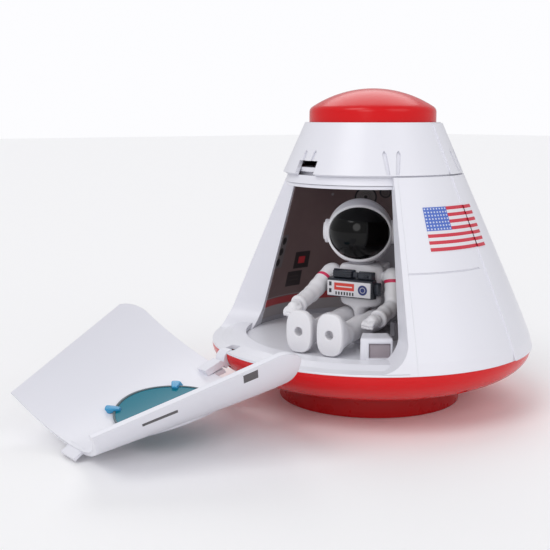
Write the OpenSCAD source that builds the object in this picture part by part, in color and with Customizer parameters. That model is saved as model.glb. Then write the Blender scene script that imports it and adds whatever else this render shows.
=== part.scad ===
// Toy space capsule playset: a truncated-cone cabin on a red bowl, with a fold-down door,
// a push-button nose cap with sound, and a jointed astronaut figure in its seat.
// Millimetres. Origin at the centre of the foot's underside, +Z up, door facing -Y.
// An azimuth is measured from -Y towards +X, seen from above.

/* [Overall] */
// Diameter over the rim where the white cabin meets the red bowl
rim_d = 168; // [148:1:202]
// Height of the rim above the surface it stands on
rim_z = 30.3; // [28:0.1:38]
// Height of the flat top of the white cabin
nose_z = 144.3; // [134:0.1:176]
// Diameter of the flat top of the white cabin
nose_d = 69.8; // [62:0.1:84]
// Diameter of the foot
foot_d = 95.8; // [95:0.1:114]
// Height of the foot
foot_h = 10.6; // [9:0.1:12.4]
// How far the cabin side bulges past a straight cone
cabin_bulge = 1.2; // [0:0.1:2]

/* [Cabin shell] */
// Wall of the cabin shell
shell_t = 2.4; // [1.8:0.1:2.9]
// Height of the joint between cabin and nose collar
collar_z = 118.5; // [112:0.1:124]
// Height of the raised stiffening strips over the skin
strip_rise = 0.8; // [0.3:0.1:1.4]
// Angle that one stiffening strip covers
strip_angle = 32; // [20:1:36]
// Radius of the lower corners of the doorway
corner_r = 14; // [8:1:17]
// Height of the sill's inner edge over the rim
sill_rise = 3.7; // [3:0.1:4.4]
// Width of the sill
sill_w = 18; // [15:0.5:20]

/* [Door] */
// Angle of the cabin that the door covers
door_angle = 120; // [100:1:124]
// Wall of the door
door_t = 2.2; // [1.8:0.1:2.6]
// Gap around the closed door
door_gap = 0.5; // [0.4:0.1:0.8]
// How far the door folds down from closed
door_open = 124; // [90:0.1:124]
// Distance of the hinge axis in from the rim
hinge_inset = 4.8; // [4.6:0.1:6]
// Distance of the hinge axis below the rim
hinge_drop = 3.5; // [3.3:0.1:4.5]
// Width of one hinge arm
arm_w = 7; // [6:0.1:9]
// Distance from the middle of the door to the inner side of a hinge arm
arm_x = 15; // [13:0.5:17]
// Radius of the hinge pins
pin_r = 1.5; // [1.2:0.05:1.8]
// Radius of the window opening
window_r = 20; // [14:0.5:22]
// Height of the window's centre in the closed door
window_z = 74; // [70:0.5:80]
// Width of the latch tab
tab_w = 13; // [8:0.5:18]
// Length of the latch tab
tab_l = 4.6; // [3:0.1:5]

/* [Nose button] */
// Radius of the domed button
button_r = 32.7; // [28:0.1:33]
// Height of the dome over the cabin top
dome_h = 17.2; // [15:0.1:22]
// Radius of the sphere that the dome's crown is part of
crown_r = 57; // [50:1:70]
// Radius of the rounding at the dome's shoulder
shoulder_r = 3.4; // [2.6:0.1:5]
// Wall of the button
button_t = 2.2; // [1.8:0.1:2.8]
// Travel of the button
button_travel = 2.5; // [1.5:0.1:3]
// Radius of the button's stem
stem_r = 4; // [3.6:0.1:5]

/* [Cockpit] */
// Inner radius of the cockpit liner at the floor
liner_low_r = 64.6; // [58:0.1:66]
// Inner radius of the cockpit liner at the ceiling
liner_top_r = 43; // [38:0.1:43.4]
// Wall of the cockpit liner
liner_t = 1.6; // [1.2:0.1:2]
// Thickness of the printed instrument sheet
sheet_t = 0.4; // [0.2:0.1:0.6]
// Width of the seat
seat_w = 38; // [34:1:48]
// Height of the seat's back over its pan
seat_back_h = 50; // [40:1:60]

/* [Base] */
// Wall of the red bowl
bowl_t = 2.4; // [1.8:0.1:2.9]
// Wall and floor of the bottom cover
cover_t = 2.2; // [1.6:0.1:2.4]
// Radius of one battery cell
cell_r = 5.2; // [5:0.1:5.3]
// Length of one battery cell
cell_l = 44.5; // [40:0.1:45]
// Radius of the loudspeaker
speaker_r = 14; // [12:0.1:15]

/* [Astronaut] */
// Radius of the helmet
helmet_r = 17.2; // [15:0.1:17.8]
// Height of the helmet's centre over the hip axis
helmet_up = 47; // [45:0.1:48.5]
// Half the distance between the middles of the legs
hip_x = 8.5; // [8.2:0.1:9.5]
// Height of the shoulder axis over the hip axis
shoulder_up = 23.5; // [21:0.1:24]
// Distance of a shoulder's inner end from the middle of the body
shoulder_x = 12.6; // [12:0.1:14]
// Distance from the hip axis to the sole
leg_l = 54; // [48:0.5:56]
// Radius of a joint peg
peg_r = 2.5; // [2:0.1:2.8]
// Radius of the peg hole in a sole
sole_hole_r = 2.2; // [1.8:0.1:2.6]

/* [Flag] */
// Length of the flag decal along the skin
flag_w = 37; // [28:0.5:40]
// Height of the flag decal
flag_h = 20; // [14:0.5:22]

/* [Hidden] */
$fn = 96;

white = [0.9, 0.9, 0.94];
red = [0.8, 0.1, 0.12];
rim_r = rim_d / 2;
nose_r = nose_d / 2;
foot_r = foot_d / 2;
fit = 0.05;            // radial running clearance of a pin in its hole
gap = 0.3;             // clearance between pieces that move past each other
seam = 0.5;            // visible joint line between mouldings
steps = 16;            // stretches in one curved outline

door_half = door_angle / 2;
floor_z = rim_z + 1.3;
floor_t = 2.2;
sill_z = rim_z + sill_rise;
sill_in_r = rim_r - sill_w;
ceiling_z = collar_z - 6.1;
ceiling_t = 1.6;
ceiling_r = liner_top_r + liner_t;
header_low = ceiling_z + ceiling_t + 0.2;
hinge_y = -(rim_r - hinge_inset);
hinge_z = rim_z - hinge_drop;
door_low = rim_z + 2.9;
door_top = collar_z - 1.1;
knuckle_r = hinge_drop + 1.7;
strip_az = 120;
jamb_angle = 2.6;      // angle that a doorway jamb covers
liner_az = door_half + jamb_angle;

function mix(a, b, t) = a + (b - a) * t;
function unit(t) = min(max(t, 0), 1);
function flipped(list) = [for (i = [len(list) - 1 : -1 : 0]) list[i]];

// Outer radius of the cabin at a height: a cone with a soft bulge low down.
function skin_r(z) =
    mix(rim_r, nose_r, (z - rim_z) / (nose_z - rim_z))
    + cabin_bulge * sin(180 * pow(unit((z - rim_z) / (nose_z - rim_z)), 0.45));

// Outline points up the cabin's skin, moved out by off.
function skin_line(z0, z1, off) =
    [for (i = [0 : steps]) let (z = mix(z0, z1, i / steps)) [skin_r(z) + off, z]];

// Outer radius of the bowl at a height.
function bowl_r(z) =
    foot_r + (rim_r - foot_r) * pow(1 - pow(unit((rim_z - z) / (rim_z - foot_h)), 2.2), 1 / 1.5);

function bowl_line(off) =
    [for (i = [0 : steps]) let (z = mix(foot_h, rim_z, pow(i / steps, 1.6))) [bowl_r(z) - off, z]];

// Inner radius of the cockpit liner at a height.
function liner_r(z) = mix(liner_low_r, liner_top_r, (z - floor_z) / (ceiling_z - floor_z));

// Horizontal direction at an azimuth.
function dir(az) = [sin(az), -cos(az), 0];

// A revolved outline between two azimuths.
module sector(az0, az1) {
    rotate([0, 0, az0 - 90]) rotate_extrude(angle = az1 - az0) children();
}

// A shape drawn with +X across and +Y up, extruded outwards along an azimuth.
module outwards(az, from, to) {
    rotate([0, 0, az]) translate([0, -from, 0]) rotate([90, 0, 0])
        linear_extrude(to - from) children();
}

// The stretch of cabin wall between two heights and two depths under the skin.
module wall_outline(z0, z1, out, in) {
    polygon(concat(skin_line(z0, z1, out), flipped(skin_line(z0, z1, in))));
}

// One lower corner of the doorway as a flat shape: outside its rounding.
module corner_outline(r) {
    difference() {
        translate([2 - r, 0]) square([r - 1.4, r]);
        translate([0.15 - r, r]) circle(r);
    }
}

// Both lower corners, as solids that reach out past the rim.
module doorway_corners(low, r) {
    for (side = [-1, 1])
        mirror([side < 0 ? 1 : 0, 0, 0])
            outwards(door_half, sill_in_r * 0.6, rim_r * 1.2)
                translate([0, low]) corner_outline(r);
}

// ---------------------------------------------------------------- base

cabin_screw_az = [84, 138, 222, 276];
cabin_screw_at = rim_r - 10.5;
cabin_boss_r = 3.4;
cabin_boss_top = rim_z + 12;
cabin_head_z = rim_z - 6;
base_screw_az = [50, 100, 260, 310];
base_screw_at = foot_r - cover_t - 4.4;
base_boss_r = 3.6;
foot_in_r = foot_r - cover_t - 4.2;
screw_r = 1.3;
head_r = 2.7;
head_h = 1.7;
head_room = 0.3;
battery_y = 17.4;
cell_pitch = 2 * cell_r + 1;
cell_z = cover_t + cell_r + 0.6;
box_l = cell_l + 6;
box_w = 2 * cell_pitch + 1;
box_t = 1.4;
box_top = cell_z + cell_r + 0.5 + box_t;
lid_t = 1.6;
lid_margin = 2.2;
lid_screw_x = box_l / 2 + box_t + 4.2;
lid_tab_r = 4.4;
lid_tab_t = 3.2;
speaker_y = -21;

module base_bowl() {
    color(red) difference() {
        union() {
            rotate_extrude()
                polygon(concat(
                    bowl_line(0),
                    flipped([for (p = bowl_line(bowl_t)) [p[0], max(p[1], foot_h + bowl_t)]]),
                    [[foot_in_r, foot_h + bowl_t], [foot_in_r, foot_h]]));
            for (az = cabin_screw_az)
                translate(dir(az) * cabin_screw_at)
                    intersection() {
                        translate([0, 0, foot_h]) cylinder(r = cabin_boss_r, h = rim_z - foot_h);
                        translate(-dir(az) * cabin_screw_at) rotate_extrude()
                            polygon(concat(bowl_line(0.2), [[0, rim_z], [0, foot_h]]));
                    }
            for (az = base_screw_az)
                translate(dir(az) * base_screw_at + [0, 0, foot_h])
                    cylinder(r = base_boss_r, h = 9);
            for (side = [-1, 1])
                hinge_lugs(side);
        }
        for (az = cabin_screw_az)
            translate(dir(az) * cabin_screw_at) {
                cylinder(r = screw_r, h = rim_z + 1);
                translate([0, 0, foot_h - 1])
                    cylinder(r = head_r + head_room, h = cabin_head_z - foot_h + 1);
            }
        for (az = base_screw_az)
            translate(dir(az) * base_screw_at + [0, 0, foot_h - 1])
                cylinder(r = screw_r, h = 9);
        hinge_pockets();
    }
}

lug_t = 5;

// The lug that holds one hinge pin, inside the bowl wall.
module hinge_lugs(side) {
    x = arm_x - gap - lug_t;
    intersection() {
        translate([side > 0 ? x : -x - lug_t, hinge_y - 4, hinge_z - 3.2])
            cube([lug_t, 10, rim_z - hinge_z + 3.2 - gap]);
        rotate_extrude()
            polygon(concat(bowl_line(0.2), [[0, rim_z], [0, foot_h]]));
    }
}

// The room that the hinge arms turn in, and the bores of their pins.
module hinge_pockets() {
    for (side = [-1, 1]) {
        mid = side * (arm_x + arm_w / 2);
        translate([mid, hinge_y, hinge_z]) rotate([0, 90, 0]) {
            cylinder(r = knuckle_r + 0.6, h = arm_w + 2 * gap, center = true);
            translate([0, 0, -side * lug_t / 2])
                cylinder(r = pin_r, h = arm_w + lug_t + 1, center = true);
        }
    }
}

module bottom_cover() {
    color(red * 0.85) difference() {
        union() {
            difference() {
                cylinder(r = foot_r, h = foot_h);
                translate([0, 0, cover_t]) cylinder(r = foot_r - cover_t, h = foot_h);
            }
            for (az = base_screw_az)
                translate(dir(az) * base_screw_at) cylinder(r = base_boss_r, h = foot_h);
            translate([-box_l / 2 - box_t, battery_y - box_w / 2 - box_t, 0])
                cube([box_l + 2 * box_t, box_w + 2 * box_t, box_top]);
            translate([0, speaker_y, 0]) cylinder(r = speaker_r + 1.6, h = cover_t + 3);
            translate([lid_screw_x, battery_y, 0]) cylinder(r = lid_tab_r + 1.6, h = 8);
        }
        translate([-box_l / 2, battery_y - box_w / 2, -1]) cube([box_l, box_w, box_top - box_t + 1]);
        translate([-box_l / 2 - lid_margin, battery_y - box_w / 2 - lid_margin + 0.4, -1])
            cube([box_l + 2 * lid_margin, box_w + 2 * lid_margin - 0.8, 1 + lid_t]);
        translate([lid_screw_x, battery_y, -1]) {
            cylinder(r = lid_tab_r + gap, h = 1 + lid_tab_t + 0.1);
            cylinder(r = screw_r, h = 8);
        }
        translate([0, speaker_y, cover_t]) cylinder(r = speaker_r + 0.2, h = 8);
        for (ring = [0 : 2], i = [0 : max(6 * ring - 1, 0)])
            translate([0, speaker_y, -1] + dir(i * 60 / max(ring, 1)) * ring * 3.8)
                cylinder(r = 1, h = cover_t + 2);
        for (az = base_screw_az)
            translate(dir(az) * base_screw_at + [0, 0, -1]) {
                cylinder(r = screw_r + 0.3, h = foot_h + 2);
                cylinder(r = head_r + head_room, h = head_h + 1.6 + 1);
            }
    }
}

module battery_door() {
    w = box_w + 2 * lid_margin - 0.8 - 2 * gap;
    l = box_l + 2 * lid_margin - 2 * gap;
    color(red * 0.8) difference() {
        union() {
            translate([-l / 2, battery_y - w / 2, 0.2]) cube([l, w, lid_t - 0.2]);
            translate([lid_screw_x, battery_y, 0.2]) cylinder(r = lid_tab_r, h = lid_tab_t - 0.2);
        }
        translate([lid_screw_x, battery_y, -1]) {
            cylinder(r = head_r + head_room, h = 1.2 + head_h);
            cylinder(r = screw_r + 0.2, h = 8);
        }
        for (x = [-4 : 4])
            translate([-l / 2 + 7 + x * 1.6, battery_y - 5, -0.6]) cube([0.7, 10, 1.2]);
    }
}

module battery_door_screw() {
    color("silver") translate([lid_screw_x, battery_y, 0])
        screw(0.2, 6);
}

// A pan-head screw standing on its head, with a cross slot.
module screw(z, length) {
    difference() {
        union() {
            translate([0, 0, z]) cylinder(r = head_r, h = head_h);
            translate([0, 0, z + head_h]) cylinder(r = screw_r, h = length - head_h);
        }
        for (turn = [0, 90])
            rotate([0, 0, turn]) translate([-1.6, -0.3, z - 1]) cube([3.2, 0.6, 1.8]);
    }
}

module battery_cells() {
    color("dimgray") for (side = [-1, 1])
        translate([-cell_l / 2, battery_y + side * cell_pitch / 2, cell_z]) rotate([0, 90, 0]) {
            cylinder(r = cell_r, h = cell_l - 0.8);
            cylinder(r = 1.9, h = cell_l);
        }
}

module battery_contacts() {
    color("silver") for (side = [-1, 1])
        translate([0, battery_y + side * cell_pitch / 2, cell_z]) {
            translate([side * (box_l / 2 - 0.3), 0, 0])
                cube([0.5, 8, 8], center = true);
            translate([-side * (box_l / 2 - 0.3), 0, 0])
                cube([0.5, 8, 8], center = true);
            translate([-box_l / 2 + 0.55, 0, 0]) rotate([0, 90, 0])
                cylinder(r1 = 3, r2 = 1.4, h = (box_l - cell_l) / 2 - 0.55);
        }
}

module base_screws() {
    color("silver") for (az = base_screw_az)
        translate(dir(az) * base_screw_at) screw(1.6, foot_h + 4);
}

module cabin_screws() {
    color("silver") for (az = cabin_screw_az)
        translate(dir(az) * cabin_screw_at) screw(cabin_head_z - head_h, 15);
}

module speaker_frame() {
    color("dimgray") translate([0, speaker_y, cover_t + 0.01]) {
        difference() {
            cylinder(r = speaker_r, h = 3);
            translate([0, 0, -1]) cylinder(r = speaker_r - 1.6, h = 2.8);
        }
        translate([0, 0, 3]) cylinder(r1 = speaker_r - 1, r2 = 8, h = 3);
        translate([0, 0, 6]) cylinder(r = 7.5, h = 3);
    }
}

module speaker_cone() {
    color("beige") translate([0, speaker_y, cover_t + 0.3])
        difference() {
            cylinder(r = speaker_r - 1.8, h = 1.2);
            translate([0, 0, -0.6]) cylinder(r1 = speaker_r - 4, r2 = 3, h = 1.4);
        }
}

board_w = 34;
board_l = 24;
board_z = rim_z - 9;
board_y = 0;
board_t = 1.2;

module sound_board() {
    color("green") difference() {
        translate([-board_w / 2, board_y - board_l / 2, board_z]) cube([board_w, board_l, board_t]);
        for (x = [-1, 1], y = [-1, 1])
            translate([x * (board_w / 2 - 3), board_y + y * (board_l / 2 - 3), board_z - 1])
                cylinder(r = 1.1, h = board_t + 2);
    }
}

module board_parts() {
    top = board_z;
    color("black") {
        translate([0, board_y, top - 0.8]) cylinder(r = 4.5, h = 0.8);
        for (x = [-12, -8, 9])
            translate([x, board_y + 6, top - 0.9]) cube([2, 1.2, 0.9]);
        translate([9, board_y - 5, top - 4]) cylinder(r = 2, h = 4);
    }
}

// ---------------------------------------------------------------- cabin

module cabin_shell() {
    color(white) difference() {
        union() {
            sector(liner_az, 360 - liner_az) shell_outline();
            for (az = [strip_az, -strip_az])
                sector(az - strip_angle / 2, az + strip_angle / 2)
                    wall_outline(rim_z, collar_z - 0.2, strip_rise, -shell_t / 2);
            for (az = cabin_screw_az) cabin_boss(az);
        }
        for (az = cabin_screw_az)
            translate(dir(az) * cabin_screw_at + [0, 0, rim_z - 1])
                cylinder(r = screw_r, h = 11);
        skin_groove();
    }
}

// The cabin wall with the flange at its top.
module shell_outline() {
    polygon(concat(
        skin_line(rim_z, collar_z - 0.2, 0),
        [[liner_top_r - 1, collar_z - 0.2], [liner_top_r - 1, collar_z - 2.2]],
        flipped(skin_line(rim_z, collar_z - 2.2, -shell_t))));
}

// The surround of the doorway: two jambs, the sill and the header, with rounded lower corners.
module door_frame() {
    color(white) difference() {
        sector(-liner_az, liner_az) jamb_outline();
        difference() {
            sector(-door_half, door_half) opening_outline();
            doorway_corners(sill_z - 2.6, corner_r + door_gap);
        }
        hinge_pockets();
        sill_slots();
    }
}

// Everything between the cockpit liner's inner face and the skin.
module jamb_outline() {
    polygon(concat(
        skin_line(rim_z, collar_z - 0.2, 0),
        [[liner_top_r - 1, collar_z - 0.2], [liner_top_r - 1, header_low],
         [ceiling_r + 0.2, header_low], [ceiling_r + 0.2, ceiling_z - 0.1],
         [liner_r(ceiling_z - 0.1), ceiling_z - 0.1], [liner_low_r, floor_z],
         [sill_in_r - gap / 2, floor_z], [sill_in_r - gap / 2, rim_z]]));
}

// The space of the doorway, from the sill's surface to the header.
module opening_outline() {
    seat_d = door_t + 2 * door_gap;
    polygon([
        [liner_top_r - 5, rim_z - 1], [sill_in_r, rim_z - 1], [sill_in_r, sill_z],
        [mix(sill_in_r, rim_r, 0.45), sill_z - 0.3], [rim_r - 5.4, rim_z + 1.6],
        [rim_r - 0.8, rim_z + 1], [rim_r + 3, rim_z + 0.8], [rim_r + 3, collar_z + 1],
        [skin_r(collar_z) - seat_d, collar_z + 1], [skin_r(header_low) - seat_d, header_low],
        [liner_top_r - 5, header_low]
    ]);
}

module cabin_boss(az) {
    translate(dir(az) * cabin_screw_at + [0, 0, rim_z])
        intersection() {
            union() {
                cylinder(r = cabin_boss_r, h = cabin_boss_top - rim_z);
                rotate([0, 0, az]) translate([-1.2, -12, 0])
                    cube([2.4, 12, cabin_boss_top - rim_z]);
            }
            translate(-dir(az) * cabin_screw_at - [0, 0, rim_z]) rotate_extrude()
                polygon(concat([[liner_low_r, rim_z]], skin_line(rim_z, collar_z, -0.5)));
        }
}

// Notches in the sill for the hinge arms.
module sill_slots() {
    for (side = [-1, 1])
        translate([side * (arm_x + arm_w / 2), hinge_y, hinge_z])
            translate([-arm_w / 2 - gap, -knuckle_r - 6, 0])
                cube([arm_w + 2 * gap, 2 * knuckle_r + 6, 12]);
}

// Shallow joint lines across both sides of the cabin.
groove_low_az = 62;
groove_high_az = 100;
groove_share = 0.386;
groove_w = 0.6;

module skin_groove() {
    z = mix(rim_z, nose_z, groove_share);
    for (az = [groove_low_az, -groove_high_az])
        sector(az, az + groove_high_az - groove_low_az)
            translate([skin_r(z) - 0.5, z]) square([4, groove_w]);
}

lip_h = 3.9;

module nose_collar() {
    color(white) difference() {
        union() {
            rotate_extrude()
                polygon(concat(
                    [[skin_r(collar_z) - 1.4, collar_z + seam]],
                    skin_line(collar_z + seam, nose_z, 0),
                    [[button_r + seam, nose_z], [button_r + seam, nose_z - lip_h]],
                    flipped(skin_line(collar_z + seam, nose_z - lip_h, -shell_t)),
                    [[skin_r(collar_z) - shell_t, collar_z - 0.2],
                     [skin_r(collar_z) - 1.4, collar_z - 0.2]]));
            for (az = [strip_az, -strip_az])
                sector(az - strip_angle / 2, az + strip_angle / 2)
                    wall_outline(collar_z + seam, nose_z - 0.4, strip_rise, -shell_t / 2);
        }
        for (i = [0 : 5]) thruster_slots(i * 60);
        translate([-tab_w / 2 - 0.4, -rim_r, collar_z - 1])
            cube([tab_w + 0.8, rim_r - liner_top_r + 6, tab_l + 3.4]);
    }
}

// A pair of tapered slots either side of a small rib.
module thruster_slots(az) {
    z0 = collar_z + seam + 0.6;
    z1 = collar_z + 12.5;
    slope = atan((skin_r(z0) - skin_r(z1)) / (z1 - z0));
    for (side = [-1, 1])
        rotate([0, 0, az]) translate([0, -skin_r(z0), z0]) rotate([-slope, 0, 0])
            rotate([90, 0, 0]) translate([0, 0, -1.1]) linear_extrude(4)
                polygon([[side * 1.4, 0], [side * 3.1, 0], [side * 4.5, 10.5],
                         [side * 3.6, 12.4], [side * 2.5, 11]]);
}

module cockpit_floor() {
    color(white) difference() {
        translate([0, 0, floor_z - floor_t]) union() {
            cylinder(r = min(sill_in_r - gap, liner_low_r + liner_t - 0.2), h = floor_t);
            for (x = [-1, 1], y = [-1, 1])
                translate([x * (board_w / 2 - 3), board_y + y * (board_l / 2 - 3),
                           board_z + board_t - floor_z + floor_t])
                    cylinder(r = 2.2, h = floor_z - floor_t - board_z - board_t + 0.1);
        }
        for (x = [-1, 1], y = [-1, 1])
            translate([x * (board_w / 2 - 3), board_y + y * (board_l / 2 - 3), board_z])
                cylinder(r = 0.9, h = 6);
    }
}

module cockpit_liner() {
    color("dimgray") sector(liner_az, 360 - liner_az)
        polygon([[liner_low_r, floor_z], [liner_low_r + liner_t, floor_z],
                 [ceiling_r, ceiling_z], [liner_top_r, ceiling_z]]);
}

module instrument_sheet() {
    low = floor_z + 3;
    high = ceiling_z - 1;
    color([0.27, 0.2, 0.2]) sector(liner_az, 360 - liner_az)
        polygon([[liner_r(low) - sheet_t, low], [liner_r(low), low],
                 [liner_r(high), high], [liner_r(high) - sheet_t, high]]);
}

lamp_y = 16;
lamp_r = 2.5;

module cockpit_ceiling() {
    color(white) difference() {
        translate([0, 0, ceiling_z]) cylinder(r = ceiling_r, h = ceiling_t);
        translate([0, lamp_y, ceiling_z - 1]) cylinder(r = lamp_r, h = ceiling_t + 2);
    }
}

module cockpit_lamp() {
    color("lightyellow") translate([0, lamp_y, 0]) {
        translate([0, 0, ceiling_z - 1.5]) cylinder(r = lamp_r, h = ceiling_t + 1.5);
        translate([0, 0, ceiling_z - 1.5]) sphere(r = lamp_r);
        translate([0, 0, ceiling_z + ceiling_t]) cylinder(r = lamp_r + 0.5, h = 1);
    }
}

seat_z = floor_z + 2.6;
seat_front = -20;
seat_back_y = 17;
seat_back_t = 3.4;

module seat() {
    color([0.8, 0.8, 0.84]) {
        translate([-seat_w / 2, seat_front, floor_z])
            cube([seat_w, seat_back_y + seat_back_t - seat_front, seat_z - floor_z]);
        translate([0, seat_back_y + seat_back_t, seat_z]) rotate([90, 0, 0])
            linear_extrude(seat_back_t) {
                translate([-seat_w / 2 + 2, 0]) square([seat_w - 4, seat_back_h - 12]);
                translate([-seat_w / 2 + 8, seat_back_h - 12]) square([seat_w - 16, 12]);
                for (side = [-1, 1])
                    translate([side * (seat_w / 2 - 14), seat_back_h - 12]) circle(r = 12);
            }
        for (side = [-1, 1])
            translate([side * (seat_w / 2 - 1.5) - 1.5, 0, seat_z])
                cube([3, seat_back_y + seat_back_t, 7]);
    }
}

console_az = [43, 58];
console_out_r = liner_low_r - 4.4;
console_in_r = console_out_r - 14;
console_h = 11;

module side_console() {
    color(white) difference() {
        sector(console_az[0], console_az[1])
            polygon([[console_in_r, floor_z], [console_out_r, floor_z],
                     [console_out_r - 1, floor_z + console_h - 1],
                     [console_out_r - 2, floor_z + console_h],
                     [console_in_r, floor_z + console_h]]);
        sector(console_az[0] + 4, console_az[1] - 1)
            translate([console_out_r - 9, floor_z + 1.6]) square([12, console_h - 4]);
    }
}

bulkhead_z = collar_z + 1.5;
bulkhead_t = 2.2;
bulkhead_top = bulkhead_z + bulkhead_t;
guide_h = 10.5;

module nose_bulkhead() {
    color("gainsboro") difference() {
        union() {
            translate([0, 0, bulkhead_z])
                cylinder(r = skin_r(bulkhead_z) - shell_t - 1.4, h = bulkhead_t);
            translate([0, 0, bulkhead_z]) cylinder(r = stem_r + 2, h = bulkhead_t + guide_h);
            difference() {
                translate([0, 0, ceiling_z + ceiling_t])
                    cylinder(r = liner_top_r - 3.4, h = bulkhead_z - ceiling_z - ceiling_t);
                translate([0, 0, ceiling_z]) cylinder(r = liner_top_r - 5.2, h = bulkhead_z - ceiling_z);
            }
        }
        translate([0, 0, bulkhead_top]) cylinder(r = stem_r + fit + 0.03, h = guide_h + 1);
    }
}

flange_h = 1.2;
button_low = nose_z - lip_h - 0.1 - flange_h;
spring_seat_z = nose_z - 5.4;

// Centre of the crown's sphere, and the shoulder's centre that meets both it and the rim.
crown_z = nose_z + dome_h - crown_r;
shoulder_z = crown_z + sqrt(pow(crown_r - shoulder_r, 2) - pow(button_r - shoulder_r, 2));
shoulder_end = atan((shoulder_z - crown_z) / (button_r - shoulder_r));

// Outline points over the dome, off under its surface, from its rim to its crown.
function dome_line(off) = concat(
    [for (i = [0 : 6]) let (a = shoulder_end * i / 6)
        [button_r - shoulder_r + (shoulder_r - off) * cos(a), shoulder_z + (shoulder_r - off) * sin(a)]],
    [for (i = [1 : steps]) let (a = mix(shoulder_end, 90, i / steps))
        [(crown_r - off) * cos(a), crown_z + (crown_r - off) * sin(a)]]);

module nose_button() {
    color(red) {
        rotate_extrude()
            polygon(concat(
                [[button_r - button_t, button_low], [button_r + 1.1, button_low],
                 [button_r + 1.1, button_low + flange_h], [button_r, button_low + flange_h]],
                dome_line(0), flipped(dome_line(button_t))));
        translate([0, 0, bulkhead_top + 2 + button_travel + 0.2])
            cylinder(r = stem_r, h = nose_z + dome_h - button_t * 0.8 - bulkhead_top - 4.7);
        difference() {
            translate([0, 0, spring_seat_z])
                cylinder(r = stem_r + 5, h = nose_z + dome_h - button_t - spring_seat_z - 0.4);
            translate([0, 0, spring_seat_z - 1]) cylinder(r = stem_r + 2.6, h = dome_h);
        }
    }
}

spring_r = 7.6;
spring_wire = 0.5;
spring_turns = 6;
spring_sides = 8;
spring_rings = 96;

// A helical spring as one swept tube with flat ends.
module button_spring() {
    z0 = bulkhead_top + spring_wire + 0.05;
    z1 = spring_seat_z - spring_wire - 0.05;
    rings = [for (i = [0 : spring_rings])
        let (t = i / spring_rings, a = 360 * spring_turns * t)
        [for (j = [0 : spring_sides - 1]) let (b = 360 * j / spring_sides)
            [(spring_r + spring_wire * cos(b)) * cos(a),
             (spring_r + spring_wire * cos(b)) * sin(a),
             mix(z0, z1, t) + spring_wire * sin(b)]]];
    n = spring_sides;
    color("silver") polyhedron(
        points = [for (ring = rings) for (p = ring) p],
        faces = concat(
            [[for (j = [0 : n - 1]) j]],
            [for (i = [0 : spring_rings - 1]) for (j = [0 : n - 1])
                [i * n + j, (i + 1) * n + j, (i + 1) * n + (j + 1) % n, i * n + (j + 1) % n]],
            [[for (j = [n - 1 : -1 : 0]) spring_rings * n + j]]));
}

module press_switch() {
    color("black") translate([0, 0, bulkhead_top]) {
        cylinder(r = stem_r - 0.6, h = 1.3);
        cylinder(r = 1.7, h = 1.9);
    }
}

flag_az = 93;
flag_low = 84.3;
flag_t = 0.25;

module flag_decal() {
    half = flag_w / skin_r(flag_low + flag_h / 2) * 180 / PI / 2;
    color("firebrick") difference() {
        sector(flag_az - half, flag_az + half)
            polygon(concat(skin_line(flag_low, flag_low + flag_h, strip_rise + flag_t),
                           flipped(skin_line(flag_low, flag_low + flag_h, 0))));
        sector(strip_az - strip_angle / 2, flag_az + half + 1)
            wall_outline(flag_low - 1, flag_low + flag_h + 1, strip_rise, -1);
        sector(flag_az - half - 1, strip_az - strip_angle / 2)
            wall_outline(flag_low - 1, flag_low + flag_h + 1, 6, flag_t);
    }
}

// ---------------------------------------------------------------- door

// Puts what is drawn in its closed place to the door's open rest place.
module folded_down() {
    translate([0, hinge_y, hinge_z]) rotate([door_open, 0, 0])
        translate([0, -hinge_y, -hinge_z]) children();
}

door_edge = atan(door_gap / skin_r(door_top));

module door_panel() {
    color(white) folded_down() {
        difference() {
            union() {
                difference() {
                    sector(-door_half + door_edge, door_half - door_edge)
                        wall_outline(door_low, door_top, 0, -door_t);
                    doorway_corners(door_low - 0.1, corner_r);
                    outwards(0, 20, rim_r * 1.3)
                        translate([0, door_low + 1.6]) square([2 * arm_x, 8], center = true);
                }
                for (side = [-1, 1]) hinge_arm(side);
                latch_tab();
            }
            outwards(0, 20, rim_r * 1.3) translate([0, window_z]) circle(r = window_r);
            for (side = [-1, 1])
                translate([side * (arm_x + arm_w / 2), hinge_y, hinge_z]) rotate([0, 90, 0])
                    cylinder(r = pin_r + fit, h = arm_w + 2, center = true);
        }
    }
}

// One hinge arm in its closed place: a sector round the pin, and a strap up the door.
module hinge_arm(side) {
    reach = 2 * knuckle_r;
    strap_z = door_low + 9;
    strap_out = sqrt(pow(skin_r(strap_z) - 0.6, 2) - pow(arm_x + arm_w, 2)) + hinge_y;
    strap_in = sqrt(pow(skin_r(strap_z) - door_t - 1.2, 2) - pow(arm_x, 2)) + hinge_y - 2.2;
    translate([side * (arm_x + arm_w / 2) - arm_w / 2, hinge_y, hinge_z])
        rotate([90, 0, 90]) linear_extrude(arm_w) {
            intersection() {
                circle(r = knuckle_r);
                polygon([[0, 0], [-reach * sin(16), reach * cos(16)], [reach, reach],
                         [reach, -reach * cos(door_open)], [reach * sin(door_open), reach * cos(door_open)]]);
            }
            circle(r = pin_r + 1.7);
            polygon([[0, 3], [-strap_out, strap_z - hinge_z], [-strap_in, strap_z - hinge_z],
                     [4.2, 5.2]]);
        }
}

module latch_tab() {
    translate([-tab_w / 2, -(skin_r(door_top) - 0.7), door_top - 2])
        cube([tab_w, 1.3, tab_l + 2]);
}

module window_bezel() {
    color(white) folded_down() difference() {
        intersection() {
            outwards(0, 40, rim_r * 1.3) translate([0, window_z]) circle(r = window_r + 3);
            sector(-door_half, door_half)
                wall_outline(door_low, door_top, 1.4, 0);
        }
        outwards(0, 20, rim_r * 1.3) translate([0, window_z]) circle(r = window_r);
    }
}

pane_t = 1.4;
clip_t = 1.2;

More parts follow.
